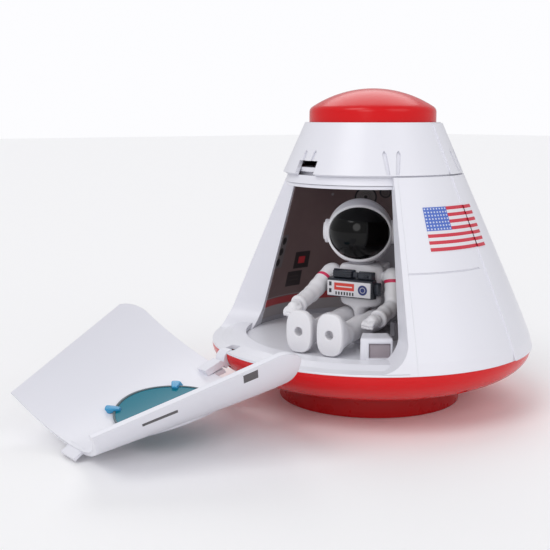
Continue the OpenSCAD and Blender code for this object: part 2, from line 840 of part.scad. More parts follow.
module window_pane() {
    color([0.1, 0.5, 0.6, 0.6]) folded_down() intersection() {
        outwards(0, 20, rim_r * 1.3) translate([0, window_z]) circle(r = window_r + 2);
        sector(-door_half, door_half)
            wall_outline(door_low, door_top, -door_t, -door_t - pane_t);
    }
}

// Four clips round the window that hold the pane against the door.
module window_clips() {
    color([0.1, 0.55, 0.8]) folded_down() intersection() {
        outwards(0, 20, rim_r * 1.3) translate([0, window_z])
            for (a = [45 : 90 : 315]) rotate([0, 0, a]) difference() {
                translate([window_r - 1, -2.6]) square([6.4, 5.2]);
                translate([window_r + 3.6, 0]) circle(r = 0.8);
            }
        difference() {
            sector(-door_half, door_half)
                wall_outline(door_low, door_top, -door_t, -door_t - pane_t - clip_t);
            outwards(0, 20, rim_r * 1.3) translate([0, window_z]) circle(r = window_r + 2.05);
        }
    }
}

module hinge_pins() {
    color("silver") for (side = [-1, 1])
        translate([side * (arm_x - gap - lug_t / 2 + (arm_w + gap - 0.2) / 2), hinge_y, hinge_z])
            rotate([0, 90, 0])
                cylinder(r = pin_r, h = lug_t + arm_w + gap - 0.2, center = true);
}

// ---------------------------------------------------------------- astronaut

figure_at = [-2, -4];
figure_turn = 22;
hip_z = seat_z + 6.6;
leg_r = 6;
peg_l = 5;

// Puts what is drawn round the hip axis, facing -Y, to its place in the seat.
module seated() {
    translate([figure_at[0], figure_at[1], hip_z]) rotate([0, 0, figure_turn]) children();
}

module ball(at, r) {
    translate(at) sphere(r = r, $fn = 28);
}

module limb(a, b, ra, rb) {
    hull() {
        ball(a, ra);
        ball(b, rb);
    }
}

neck_z = helmet_up - helmet_r + 0.2;

// The body from waist to neck, before its shoulder holes.
module torso_outline() {
    hull() {
        for (side = [-1, 1]) {
            ball([side * (shoulder_x - 6.4), 0, shoulder_up], 6.1);
            ball([side * 6, -1, 16.5], 6.4);
        }
        translate([0, 0, neck_z - 1.5]) cylinder(r = 7, h = 1.5, $fn = 32);
    }
}

// The box on the chest, with the two blocks over it.
module pack_outline() {
    translate([-13.6, -11.8, 14.6]) cube([27.2, 5.6, 10.6]);
    for (side = [-1, 1])
        translate([side * 7.5 - 4, -10.6, 25.2]) cube([8, 4.4, 2.4]);
}

module torso() {
    color(white) seated() difference() {
        torso_outline();
        pack_outline();
        for (side = [-1, 1])
            translate([side * (shoulder_x - peg_l - 0.5), 0, shoulder_up]) rotate([0, side * 90, 0])
                cylinder(r = peg_r + fit, h = peg_l + 2);
        translate([-20, -20, 0]) cube([40, 40, 13]);
    }
}

module pelvis() {
    color(white) seated() {
        hull() {
            translate([0, 0, 12.9]) cylinder(r = 8.6, h = 0.1, $fn = 32);
            translate([0, 0, leg_r + 2.4]) cylinder(r = 5.4, h = 0.1, $fn = 32);
        }
        translate([-hip_x + leg_r + gap, -4.5, -4.5])
            cube([2 * (hip_x - leg_r - gap), 9, leg_r + 8]);
        rotate([0, 90, 0]) cylinder(r = peg_r, h = 2 * (hip_x - leg_r + peg_l), center = true);
    }
}

module neck_ring() {
    color("dimgray") seated() translate([0, 0, neck_z]) cylinder(r = 6.4, h = 1.6);
}

module chest_pack() {
    color([0.1, 0.1, 0.2]) seated() pack_outline();
}

module pack_label() {
    color("gainsboro") seated() translate([-12.8, -12.1, 16.4]) cube([25.6, 0.3, 8]);
}

module life_support_pack() {
    color(white) seated() difference() {
        translate([-10.5, 4, 13.2]) cube([21, 10, 16.4]);
        torso_outline();
    }
}

visor_turn = 22;

// The visor's outline, seen from the front: wider than high.
module visor_prism(grow) {
    rotate([90, 0, 0]) linear_extrude(helmet_r * 1.3)
        polygon([for (a = [0 : 10 : 350])
            [(helmet_r * 0.88 + grow) * cos(a), (helmet_r * 0.74 + grow) * sin(a)]]);
}

module in_head() {
    translate([figure_at[0], figure_at[1], hip_z + helmet_up])
        rotate([0, 0, figure_turn]) translate([0, -3, 0]) rotate([0, 0, visor_turn]) children();
}

module helmet() {
    color(white) in_head() difference() {
        sphere(r = helmet_r);
        difference() {
            sphere(r = helmet_r - 1.9);
            translate([0, 0, 1 - helmet_r]) cube([2 * helmet_r, 2 * helmet_r, 6], center = true);
        }
        translate([0, -1, 0]) visor_prism(0);
        translate([0, 0, -helmet_r - 0.8]) cube([2 * helmet_r, 2 * helmet_r, 6], center = true);
    }
}

module visor() {
    color("black") in_head() difference() {
        intersection() {
            sphere(r = helmet_r + 0.5);
            visor_prism(-0.1);
        }
        sphere(r = helmet_r - 1.6);
    }
}

module ear_pads() {
    color(white) in_head() difference() {
        for (side = [-1, 1])
            rotate([0, side * 90, 0]) translate([0, 0, helmet_r - 1.4]) {
                cylinder(r = 6.2, h = 2.6);
                cylinder(r = 4.4, h = 3.2);
            }
        sphere(r = helmet_r);
    }
}

module arm(side, elbow, wrist) {
    shoulder = [side * (shoulder_x + 5), 0, shoulder_up];
    color(white) seated() difference() {
        union() {
            intersection() {
                ball(shoulder, 5.4);
                translate([side > 0 ? shoulder_x + gap / 2 : -shoulder_x - 40, -20, 0])
                    cube([40 - gap / 2, 40, 60]);
            }
            limb(shoulder + [side * 0.6, 0, 0], elbow, 4.6, 4.3);
            limb(elbow, wrist, 4.3, 3.6);
            translate([side * (shoulder_x - peg_l + 0.2), 0, shoulder_up]) rotate([0, side * 90, 0])
                cylinder(r = peg_r, h = peg_l + 2);
        }
    }
}

left_elbow = [20.5, -6, 9.5];
left_wrist = [20.5, -23, 6.6];
left_fist = [20.8, -30, 5.8];
right_elbow = [-21.5, -15, 14.5];
right_wrist = [-22.5, -29, 10];
right_fist = [-22.6, -36, 8.6];

module left_arm() {
    arm(1, left_elbow, left_wrist);
}

module right_arm() {
    arm(-1, right_elbow, right_wrist);
}

// A mitten of palm and fingers, joined to the wrist.
module hand(wrist, fist) {
    color(white) seated() difference() {
        hull() {
            ball(wrist + (fist - wrist) * 0.45, 3);
            ball(fist + [1.4, 0, -0.6], 2.7);
            ball(fist + [-1.4, 0, 0.6], 2.7);
        }
        ball(wrist, 3.65);
    }
}

module left_hand() {
    hand(left_wrist, left_fist);
}

module right_hand() {
    hand(right_wrist, right_fist);
}

sole_w = 14;
sole_h = 21;
sole_drop = hip_z - floor_z - 0.5;

// A leg with its boot, lying forward along -Y from the hip axis.
module leg(side) {
    x = side * hip_x;
    mid = sole_h / 2 - sole_drop;
    color(white) seated() difference() {
        union() {
            translate([x, 0, 0]) rotate([0, 90, 0])
                cylinder(r = leg_r, h = 2 * leg_r, center = true);
            limb([x, -1, 0], [x, -leg_l + 16, -0.6], 5.9, 5.4);
            hull() {
                boot_slice(x, mid, 0, 7.6, 1);
                boot_slice(x, mid - 1.6, 8, 6.4, 0.82);
            }
            hull() {
                boot_slice(x, mid - 1.6, 8, 6.4, 0.82);
                boot_slice(x, -0.6, 15, 5.8, 0.5);
            }
        }
        translate([x, 0, 0]) rotate([0, -side * 90, 0]) translate([0, 0, leg_r - peg_l - 0.4])
            cylinder(r = peg_r + fit, h = peg_l + 2);
        translate([x, -leg_l - 1, mid]) rotate([-90, 0, 0]) cylinder(r = sole_hole_r, h = 7);
    }
}

// One slice of a boot, back from the sole: a tall rounded outline.
module boot_slice(x, z, back, half_w, tall) {
    rise = max(sole_h * tall / 2 - half_w, 0.1);
    translate([x, -leg_l + back, z]) rotate([90, 0, 0]) translate([0, 0, -0.1])
        linear_extrude(0.1) for (end = [-1, 1]) translate([0, end * rise])
            circle(r = min(half_w, sole_w / 2), $fn = 28);
}

module left_leg() {
    leg(1);
}

module right_leg() {
    leg(-1);
}

base_bowl();
bottom_cover();
battery_door();
battery_door_screw();
battery_cells();
battery_contacts();
base_screws();
cabin_screws();
speaker_frame();
speaker_cone();
sound_board();
board_parts();
cabin_shell();
door_frame();
nose_collar();
cockpit_floor();
cockpit_liner();
instrument_sheet();
cockpit_ceiling();
cockpit_lamp();
seat();
side_console();
nose_bulkhead();
nose_button();
button_spring();
press_switch();
flag_decal();
door_panel();
window_bezel();
window_pane();
window_clips();
hinge_pins();
torso();
pelvis();
neck_ring();
chest_pack();
pack_label();
life_support_pack();
helmet();
visor();
ear_pads();
left_arm();
right_arm();
left_hand();
right_hand();
left_leg();
right_leg();
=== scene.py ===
"""Looks of a toy space capsule with a fold-down door, a red push-button nose and a seated astronaut.

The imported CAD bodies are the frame. Each sub-assembly class dresses its CAD nodes and builds the
finer pieces that stand for some of them. Sizes are millimetres, turned to metres as meshes are made.
"""
from __future__ import annotations

import logging
import math
from dataclasses import dataclass, field
from enum import Enum
from typing import Sequence

import bmesh
import bpy
from mathutils import Matrix, Vector, noise

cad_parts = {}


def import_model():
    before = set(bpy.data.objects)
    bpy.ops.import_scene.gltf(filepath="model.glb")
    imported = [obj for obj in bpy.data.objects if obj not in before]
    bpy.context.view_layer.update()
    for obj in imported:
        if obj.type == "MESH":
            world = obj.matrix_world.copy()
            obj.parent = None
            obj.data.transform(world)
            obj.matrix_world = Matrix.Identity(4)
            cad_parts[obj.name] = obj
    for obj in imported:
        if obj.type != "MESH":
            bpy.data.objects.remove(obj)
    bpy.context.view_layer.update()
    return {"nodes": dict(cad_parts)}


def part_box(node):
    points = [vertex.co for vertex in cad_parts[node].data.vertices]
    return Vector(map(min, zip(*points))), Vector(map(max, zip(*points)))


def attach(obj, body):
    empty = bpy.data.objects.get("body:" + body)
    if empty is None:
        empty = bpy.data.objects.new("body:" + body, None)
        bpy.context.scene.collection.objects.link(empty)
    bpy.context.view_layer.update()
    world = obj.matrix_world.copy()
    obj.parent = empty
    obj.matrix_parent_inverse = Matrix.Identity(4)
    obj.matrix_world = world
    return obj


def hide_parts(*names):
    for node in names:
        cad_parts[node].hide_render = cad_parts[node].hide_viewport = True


LOG = logging.getLogger("capsule")
Point = tuple[float, float, float]
Colour = tuple[float, float, float]
Skin = tuple[list, list]
Socket = bpy.types.NodeSocket

MM = 0.001  # a millimetre in metres
DOUBLES = 2e-6  # points closer than this many metres are one
CREASE = 38.0  # degrees over which an edge stays sharp
SMOOTH = 180.0  # degrees that leave no edge sharp


class Side(Enum):
    """The figure's own left or right."""

    LEFT = 1
    RIGHT = -1


# ---------------------------------------------------------------- node trees


class Wiring:
    """A short way to write the nodes of a tree.

    Args:
        tree: the node tree that the nodes go into.
    """

    def __init__(self, tree: bpy.types.NodeTree) -> None:
        """Keeps the tree."""
        self.tree = tree

    def add(self, kind: str, **settings: object) -> bpy.types.Node:
        """Adds a node and sets its properties.

        Args:
            kind: the node's type.
            settings: properties of the node, by name.

        Returns:
            The node.
        """
        node = self.tree.nodes.new(kind)
        for name, value in settings.items():
            setattr(node, name, value)
        return node

    def feed(self, socket: Socket, value: object) -> None:
        """Links a socket into another, or sets a plain value on it.

        Args:
            socket: the input.
            value: a socket, or what the input is set to.
        """
        if isinstance(value, Socket):
            self.tree.links.new(value, socket)
        else:
            socket.default_value = value

    def calc(self, operation: str, *values: object) -> Socket:
        """Adds a Math node on sockets or numbers and returns its result.

        Args:
            operation: the Math node's operation.
            values: sockets or numbers.

        Returns:
            The result's socket.
        """
        node = self.add("ShaderNodeMath", operation=operation)
        for socket, value in zip(node.inputs, values):
            self.feed(socket, value)
        return node.outputs[0]

    def times(self, first: object, second: object) -> Socket:
        """Multiplies two values."""
        return self.calc("MULTIPLY", first, second)


class Graph(Wiring):
    """The nodes of a material, over Object coordinates."""

    def __init__(self, tree: bpy.types.NodeTree) -> None:
        """Keeps the tree and its Object coordinates."""
        super().__init__(tree)
        self.place = self.add("ShaderNodeTexCoord").outputs["Object"]

    def cloud(self, scale: float, detail: float) -> Socket:
        """Adds a noise over Object coordinates and returns its value.

        Args:
            scale: waves per metre.
            detail: how many finer layers it has.

        Returns:
            The noise, from 0 to 1.
        """
        node = self.add("ShaderNodeTexNoise")
        node.inputs["Scale"].default_value = scale
        node.inputs["Detail"].default_value = detail
        self.feed(node.inputs["Vector"], self.place)
        return node.outputs["Fac"]

    def remap(self, value: object, low: float, high: float, to_low: float, to_high: float) -> Socket:
        """Maps a range of values to another, held at both ends.

        Args:
            value: a socket or a number.
            low: start of its range.
            high: end of its range.
            to_low: result at the start.
            to_high: result at the end.

        Returns:
            The result's socket.
        """
        node = self.add("ShaderNodeMapRange")
        for socket, number in zip(node.inputs, (value, low, high, to_low, to_high)):
            self.feed(socket, number)
        return node.outputs[0]

    def mix(self, factor: object, first: object, second: object) -> Socket:
        """Mixes two colours, each a socket or three numbers.

        Args:
            factor: share of the second colour.
            first: the first colour.
            second: the second colour.

        Returns:
            The mixed colour.
        """
        node = self.add("ShaderNodeMix", data_type="RGBA")
        self.feed(node.inputs[0], factor)
        for socket, value in ((node.inputs[6], first), (node.inputs[7], second)):
            self.feed(socket, value if isinstance(value, Socket) else (*value, 1.0))
        return node.outputs[2]

    def axes(self) -> tuple[Socket, Socket, Socket]:
        """Returns the X, Y and Z sockets of the Object coordinates.

        Returns:
            The three sockets, in metres.
        """
        node = self.add("ShaderNodeSeparateXYZ")
        self.feed(node.inputs[0], self.place)
        return node.outputs[0], node.outputs[1], node.outputs[2]

    def azimuth(self) -> Socket:
        """Returns the angle round the capsule in degrees, 0 to 360 from the door's side towards +X.

        Returns:
            The angle's socket.
        """
        x, y, _ = self.axes()
        turn = self.calc("ARCTAN2", x, self.times(y, -1.0))
        degrees = self.times(turn, 180 / math.pi)
        return self.calc("FLOORED_MODULO", degrees, 360.0)

    def along(self, origin: Point, axis: Point) -> Socket:
        """Returns the distance in millimetres of a point along an axis from an origin in millimetres.

        Args:
            origin: where the distance is 0.
            axis: unit direction.

        Returns:
            The distance's socket.
        """
        shift = self.add("ShaderNodeVectorMath", operation="SUBTRACT")
        self.feed(shift.inputs[0], self.place)
        shift.inputs[1].default_value = [c * MM for c in origin]
        dot = self.add("ShaderNodeVectorMath", operation="DOT_PRODUCT")
        self.feed(dot.inputs[0], shift.outputs[0])
        dot.inputs[1].default_value = axis
        return self.times(dot.outputs["Value"], 1 / MM)

    def squares(self, first: object, second: object) -> Socket:
        """Adds the squares of two values."""
        return self.calc("ADD", self.calc("POWER", first, 2.0), self.calc("POWER", second, 2.0))

    def span(self, value: object, low: float, high: float, soft: float) -> Socket:
        """Returns 1 where a value lies between two limits, with soft ends.

        Args:
            value: a socket or a number.
            low: the lower limit.
            high: the upper limit.
            soft: half the width of each soft end.

        Returns:
            The result's socket.
        """
        rise = self.remap(value, low - soft, low + soft, 0.0, 1.0)
        fall = self.remap(value, high - soft, high + soft, 1.0, 0.0)
        return self.times(rise, fall)


@dataclass(frozen=True)
class Finish:
    """A moulded or metal surface with slight unevenness of colour, gloss and height.

    Args:
        name: the material's name.
        colour: its linear base colour.
        roughness: its middle roughness.
        spread: how far roughness strays either way.
        drift: how far the colour strays, as a share.
        relief: depth of the fine surface texture, in millimetres.
        grain: how fine that texture is, in waves per metre.
        metallic: 1 for bare metal.
        coat: weight of a clear gloss over it.
        edge: radius that sharp edges are softened to, in millimetres.
        subsurface: how much light goes a little way in.
        transmission: share of light that goes through.
        shine: strength of the mirror-like part.
    """

    name: str
    colour: Colour
    roughness: float = 0.35
    spread: float = 0.05
    drift: float = 0.03
    relief: float = 0.012
    grain: float = 900.0
    metallic: float = 0.0
    coat: float = 0.0
    edge: float = 0.35
    subsurface: float = 0.0
    transmission: float = 0.0
    shine: float = 0.5

    def make(self) -> bpy.types.Material:
        """Builds the material.

        Returns:
            The finished material.
        """
        material = bpy.data.materials.new(self.name)
        material.use_nodes = True
        tree = material.node_tree
        tree.nodes.clear()
        graph = Graph(tree)
        shader = graph.add("ShaderNodeBsdfPrincipled")
        end = graph.add("ShaderNodeOutputMaterial")
        tree.links.new(shader.outputs[0], end.inputs["Surface"])
        tone = self.paint(graph)
        graph.feed(shader.inputs["Base Color"], tone)
        wear = graph.cloud(160.0, 4.0)
        rough = graph.remap(wear, 0.3, 0.7, self.roughness - self.spread, self.roughness + self.spread)
        graph.feed(shader.inputs["Roughness"], rough)
        for key, value in (("Metallic", self.metallic), ("Specular IOR Level", self.shine),
                           ("Coat Weight", self.coat), ("Coat Roughness", 0.06),
                           ("Transmission Weight", self.transmission), ("Subsurface Weight", self.subsurface),
                           ("Subsurface Radius", (1.0, 0.9, 0.85)), ("Subsurface Scale", 0.002)):
            shader.inputs[key].default_value = value
        soft = graph.add("ShaderNodeBevel", samples=4)
        soft.inputs["Radius"].default_value = self.edge * MM
        bump = graph.add("ShaderNodeBump")
        bump.inputs["Strength"].default_value = 0.6
        bump.inputs["Distance"].default_value = self.relief * MM
        graph.feed(bump.inputs["Height"], graph.cloud(self.grain, 2.0))
        graph.feed(bump.inputs["Normal"], soft.outputs[0])
        graph.feed(shader.inputs["Normal"], bump.outputs[0])
        return material

    def paint(self, graph: Graph) -> Socket:
        """Returns the colour over the surface."""
        return self.shade(graph, self.colour)

    def shade(self, graph: Graph, colour: object) -> Socket:
        """Returns a colour with a slow, slight drift.

        Args:
            graph: the material's graph.
            colour: a socket or three numbers.

        Returns:
            The drifting colour.
        """
        drift = graph.remap(graph.cloud(28.0, 3.0), 0.35, 0.65, 0.0, self.drift)
        return graph.mix(drift, colour, (0.42, 0.4, 0.38))


@dataclass(frozen=True)
class FlagPrint(Finish):
    """A printed flag: level stripes with a blue corner of small white dots.

    Args:
        start: azimuth of its left edge in degrees.
        stop: azimuth of its right edge.
        low: height of its lower edge in millimetres.
        high: height of its upper edge.
    """

    start: float = 74.3
    stop: float = 111.7
    low: float = 84.3
    high: float = 104.3

    def paint(self, graph: Graph) -> Socket:
        """Returns the flag's colours.

        Args:
            graph: the material's graph.

        Returns:
            The colour's socket.
        """
        _, _, z = graph.axes()
        across = graph.remap(graph.azimuth(), self.start, self.stop, 0.0, 1.0)
        up = graph.remap(z, self.low * MM, self.high * MM, 0.0, 1.0)
        wave = graph.calc("FRACT", graph.times(up, 6.5))
        stripe = graph.remap(wave, 0.49, 0.53, 0.0, 1.0)
        cloth = graph.mix(stripe, (0.62, 0.03, 0.06), (0.78, 0.76, 0.8))
        cell_x = graph.calc("SUBTRACT", graph.calc("FRACT", graph.times(across, 20.0)), 0.5)
        cell_y = graph.calc("SUBTRACT", graph.calc("FRACT", graph.times(up, 13.0)), 0.5)
        dot = graph.remap(graph.squares(cell_x, cell_y), 0.04, 0.09, 1.0, 0.0)
        corner = graph.mix(dot, (0.07, 0.15, 0.55), (0.6, 0.65, 0.82))
        inside = graph.times(graph.remap(across, 0.395, 0.405, 1.0, 0.0),
                            graph.remap(up, 0.455, 0.465, 0.0, 1.0))
        return self.shade(graph, graph.mix(inside, cloth, corner))


@dataclass(frozen=True)
class PanelPrint(Finish):
    """The printed instrument wall round the cockpit: dials, switches, screens and bands.

    Args:
        foot_r: the wall's radius at its foot in millimetres.
        taper: how much smaller it is at its top.
        foot_z: height of its foot.
        tall: its height.
    """

    foot_r: float = 64.6
    taper: float = 21.6
    foot_z: float = 31.6
    tall: float = 80.8

    def radius(self, height: float) -> float:
        """Returns the wall's radius at a height."""
        return self.foot_r - self.taper * (height - self.foot_z) / self.tall

    def paint(self, graph: Graph) -> Socket:
        """Returns the print's colours.

        Args:
            graph: the material's graph.

        Returns:
            The colour's socket.
        """
        _, _, z = graph.axes()
        up = graph.times(z, 1 / MM)
        around = graph.azimuth()
        ground = graph.mix(graph.remap(graph.cloud(22.0, 3.0), 0.3, 0.7, 0.0, 1.0),
                           (0.15, 0.095, 0.095), (0.2, 0.135, 0.13))
        low = graph.remap(up, 41.0, 41.8, 1.0, 0.0)
        tone = graph.mix(low, ground, (0.36, 0.33, 0.34))
        for bottom, top, soft, colour in ((41.2, 45.4, 0.4, (0.42, 0.04, 0.045)),
                                          (45.8, 46.3, 0.15, (0.3, 0.26, 0.26))):
            tone = graph.mix(graph.span(up, bottom, top, soft), tone, colour)
        for az, height, wide, tall, colour in self.plates():
            tone = graph.mix(self.plate(graph, around, up, az, height, wide, tall), tone, colour)
        for az, height, size, colour in self.discs():
            away = self.away(graph, around, up, az, height)
            tone = graph.mix(graph.remap(away, size - 0.25, size + 0.25, 1.0, 0.0), tone, colour)
        for az, height, size in ((231.0, 101.8, 6.4), (216.8, 104.6, 3.4), (140.0, 98.0, 5.2), (166.0, 101.0, 3.6)):
            away = self.away(graph, around, up, az, height)
            ring = graph.span(away, size - 0.9, size, 0.15)
            tone = graph.mix(ring, tone, (0.012, 0.01, 0.012))
            spokes = graph.times(graph.span(away, size * 0.3, size * 0.62, 0.2),
                                graph.span(graph.calc("FRACT", graph.times(away, 1.1)), 0.2, 0.6, 0.1))
            tone = graph.mix(graph.times(spokes, 0.5), tone, (0.03, 0.025, 0.028))
        return self.shade(graph, tone)

    def plates(self) -> tuple[tuple[float, float, float, float, Colour], ...]:
        """Returns each printed rectangle: azimuth, height, half width, half height and colour.

        Returns:
            One row for each rectangle, in degrees and millimetres.
        """
        dark, grey, black = (0.022, 0.014, 0.015), (0.17, 0.15, 0.15), (0.012, 0.01, 0.01)
        screen, red = (0.05, 0.035, 0.036), (0.5, 0.03, 0.04)
        return (
            (294.8, 73.0, 4.2, 9.4, grey), (272.6, 66.2, 5.6, 4.9, dark), (272.6, 66.2, 2.4, 2.0, red),
            (276.4, 55.4, 5.8, 4.4, dark), (276.4, 56.8, 3.6, 0.35, screen), (276.4, 54.6, 3.6, 0.35, screen),
            (100.0, 68.0, 8.0, 5.6, dark), (100.0, 68.0, 6.8, 4.4, (0.02, 0.05, 0.06)),
            (125.0, 70.0, 5.0, 7.0, grey), (150.0, 72.0, 9.0, 6.0, black), (180.0, 76.0, 6.4, 8.4, dark),
            (206.0, 70.0, 9.0, 5.2, (0.03, 0.022, 0.024)), (206.0, 71.5, 7.4, 0.4, screen),
            (206.0, 68.5, 7.4, 0.4, screen), (180.0, 78.0, 4.0, 0.5, grey), (180.0, 74.0, 4.0, 0.5, grey),
            (84.0, 80.0, 3.0, 9.0, grey), (250.0, 92.0, 3.4, 0.3, screen), (250.0, 89.6, 3.4, 0.3, screen),
        )

    def discs(self) -> tuple[tuple[float, float, float, Colour], ...]:
        """Returns each printed disc: azimuth, height, radius and colour.

        Returns:
            One row for each disc, in degrees and millimetres.
        """
        black, pale, face = (0.012, 0.01, 0.01), (0.3, 0.28, 0.28), (0.2, 0.175, 0.17)
        return ((293.8, 79.0, 2.2, black), (294.8, 73.0, 2.2, black), (295.8, 67.0, 2.2, black),
                (231.0, 101.8, 5.6, face), (231.0, 101.8, 1.0, black), (216.8, 104.6, 2.6, (0.12, 0.09, 0.09)),
                (140.0, 98.0, 4.4, (0.12, 0.1, 0.1)), (125.0, 73.5, 1.6, black), (125.0, 69.0, 1.6, black),
                (166.0, 101.0, 2.8, pale), (256.0, 103.7, 0.8, pale), (84.0, 84.0, 1.5, black),
                (84.0, 78.0, 1.5, black), (150.0, 72.0, 2.0, (0.3, 0.03, 0.03)))

    def away(self, graph: Graph, around: object, up: object, az: float, height: float) -> Socket:
        """Returns the distance over the wall, in millimetres, from a spot on it.

        Args:
            graph: the material's graph.
            around: azimuth in degrees.
            up: height in millimetres.
            az: the spot's azimuth.
            height: the spot's height.

        Returns:
            The distance's socket.
        """
        side = graph.times(graph.calc("SUBTRACT", around, az), self.radius(height) * math.pi / 180)
        rise = graph.times(graph.calc("SUBTRACT", up, height), 1.035)
        return graph.calc("SQRT", graph.squares(side, rise))

    def plate(self, graph: Graph, around: object, up: object, az: float, height: float,
              wide: float, tall: float) -> Socket:
        """Returns 1 inside a printed rectangle on the wall.

        Args:
            graph: the material's graph.
            around: azimuth in degrees.
            up: height in millimetres.
            az: azimuth of its middle.
            height: height of its middle.
            wide: half its width in millimetres.
            tall: half its height.

        Returns:
            The result's socket.
        """
        half = wide / self.radius(height) * 180 / math.pi
        return graph.times(graph.span(around, az - half, az + half, 0.25),
                          graph.span(up, height - tall, height + tall, 0.2))


@dataclass(frozen=True)
class BandedSuit(Finish):
    """Suit plastic with one painted band across a limb.

    Args:
        origin: a point in millimetres on the band's first edge.
        axis: the limb's unit direction.
        width: the band's width in millimetres.
        band: the band's linear colour.
    """

    origin: Point = (0.0, 0.0, 0.0)
    axis: Point = (0.0, 0.0, 1.0)
    width: float = 1.3
    band: Colour = (0.68, 0.02, 0.1)

    def paint(self, graph: Graph) -> Socket:
        """Returns the suit's colour with the band."""
        mark = graph.span(graph.along(self.origin, self.axis), 0.0, self.width, 0.12)
        return self.shade(graph, graph.mix(mark, self.colour, self.band))


@dataclass(frozen=True)
class LabelPrint(Finish):
    """The chest pack's label: a red bar, a round mark and small black ticks on pale ground.

    Args:
        origin: the label's middle in millimetres.
        across: unit direction along the label, towards the figure's left.
    """

    origin: Point = (0.0, 0.0, 0.0)
    across: Point = (1.0, 0.0, 0.0)

    def paint(self, graph: Graph) -> Socket:
        """Returns the label's colours.

        Args:
            graph: the material's graph.

        Returns:
            The colour's socket.
        """
        x = graph.along(self.origin, self.across)
        z = graph.along(self.origin, (0.0, 0.0, 1.0))
        bar = graph.times(graph.span(x, -8.4, 3.2, 0.12), graph.span(z, -0.9, 3.0, 0.12))
        tone = graph.mix(bar, (0.74, 0.73, 0.76), (0.66, 0.045, 0.03))
        pin = graph.times(graph.span(x, -7.2, 2.0, 0.1), graph.span(z, 0.75, 1.35, 0.1))
        tone = graph.mix(pin, tone, (0.78, 0.74, 0.74))
        tick = graph.span(graph.calc("FRACT", graph.times(x, 0.62)), 0.25, 0.8, 0.06)
        row = graph.times(graph.span(x, -8.4, 3.2, 0.1), graph.span(z, -3.4, -1.7, 0.12))
        tone = graph.mix(graph.times(tick, row), tone, (0.02, 0.02, 0.025))
        for spot, height in ((-10.7, 2.2), (-10.7, -1.4)):
            mark = graph.times(graph.span(x, spot - 0.75, spot + 0.75, 0.1),
                              graph.span(z, height - 1.1, height + 1.1, 0.1))
            tone = graph.mix(mark, tone, (0.03, 0.03, 0.04))
        away = graph.calc("SQRT", graph.squares(graph.calc("SUBTRACT", x, 8.0), z))
        tone = graph.mix(graph.remap(away, 2.5, 2.8, 1.0, 0.0), tone, (0.015, 0.03, 0.16))
        tone = graph.mix(graph.span(away, 1.2, 1.55, 0.1), tone, (0.5, 0.5, 0.56))
        return self.shade(graph, tone)


WHITE = Finish("white_plastic", (0.8, 0.8, 0.86), roughness=0.32, spread=0.02, drift=0.012, relief=0.002)
CONSOLE = Finish("console_white", (0.8, 0.8, 0.86), roughness=0.32, spread=0.02, drift=0.012, relief=0.002, edge=1.3)
RED = Finish("red_plastic", (0.66, 0.003, 0.006), roughness=0.22, spread=0.03, coat=0.06, drift=0.004, edge=0.5,
             relief=0.002, shine=0.3)
# The same red made darker: painted shade of the foot ring, which stands in shadow by the floor.
SHADED_RED = Finish("dark_red_plastic", (0.4, 0.003, 0.005), roughness=0.3, coat=0.05, drift=0.004, shine=0.3)
STEEL = Finish("steel", (0.55, 0.55, 0.57), roughness=0.28, metallic=1.0, relief=0.02, edge=0.1)
CELL = Finish("cell_wrap", (0.05, 0.05, 0.055), roughness=0.4)
BLACK = Finish("black_plastic", (0.02, 0.02, 0.022), roughness=0.45)
PAPER = Finish("speaker_paper", (0.42, 0.38, 0.28), roughness=0.85, relief=0.08, grain=2500.0)
BOARD = Finish("circuit_board", (0.02, 0.14, 0.05), roughness=0.35, coat=0.2, drift=0.15)
GREY = Finish("grey_plastic", (0.42, 0.41, 0.45), roughness=0.42)
FLOOR = Finish("cockpit_white", (0.78, 0.78, 0.83), roughness=0.4, drift=0.012)
# A grey-purple copy of the console's white: painted shade in the side console's recess.
RECESS_SHADE = Finish("console_grey", (0.36, 0.31, 0.34), roughness=0.4)
LAMP = Finish("lamp_lens", (0.85, 0.8, 0.6), roughness=0.15, coat=0.4, subsurface=0.3)
TEAL = Finish("teal_pane", (0.004, 0.17, 0.24), roughness=0.16, spread=0.02, drift=0.0, edge=0.2, shine=0.15)
# Dark grey-teal band round the pane: painted shadow of the pane's rim.
RIM_SHADOW = Finish("pane_edge", (0.07, 0.11, 0.13), roughness=0.4)
# Painted shade inside the door's slots.
DARK_SLOT_SHADE = Finish("slot_shade", (0.1, 0.095, 0.1), roughness=0.6)
BLUE = Finish("blue_plastic", (0.03, 0.3, 0.56), roughness=0.28, coat=0.2, edge=0.2)
SUIT = Finish("suit_white", (0.82, 0.81, 0.84), roughness=0.42, subsurface=0.08, relief=0.01, grain=1400.0)
NAVY = Finish("navy_plastic", (0.014, 0.018, 0.03), roughness=0.38, coat=0.1, edge=0.25)
VISOR = Finish("visor_black", (0.002, 0.002, 0.002), roughness=0.1, spread=0.02, edge=0.1, relief=0.001, drift=0.0,
               shine=0.22)


class Palette:
    """Makes each finish once and hands it out again."""

    def __init__(self) -> None:
        """Starts with no materials."""
        self.made: dict[str, bpy.types.Material] = {}

    def get(self, finish: Finish) -> bpy.types.Material:
        """Returns the material of a finish.

        Args:
            finish: the finish.

        Returns:
            Its one material.
        """
        if finish.name not in self.made:
            self.made[finish.name] = finish.make()
        return self.made[finish.name]


# ---------------------------------------------------------------- shapes


def placed(name: str, data: bpy.types.ID) -> bpy.types.Object:
    """Makes an object of a mesh, a light or a camera and puts it in the scene.

    Args:
        name: the object's name.
        data: what it shows.

    Returns:
        The object.
    """
    thing = bpy.data.objects.new(name, data)
    bpy.context.collection.objects.link(thing)
    return thing


def outward(mesh: bpy.types.Mesh, gap: float = 0.0) -> None:
    """Turns a mesh's faces outwards.

    Args:
        mesh: the mesh.
        gap: points this close in metres are merged first; 0 merges none.
    """
    work = bmesh.new()
    work.from_mesh(mesh)
    if gap:
        bmesh.ops.remove_doubles(work, verts=work.verts, dist=gap)
    bmesh.ops.recalc_face_normals(work, faces=work.faces)
    work.to_mesh(mesh)
    work.free()


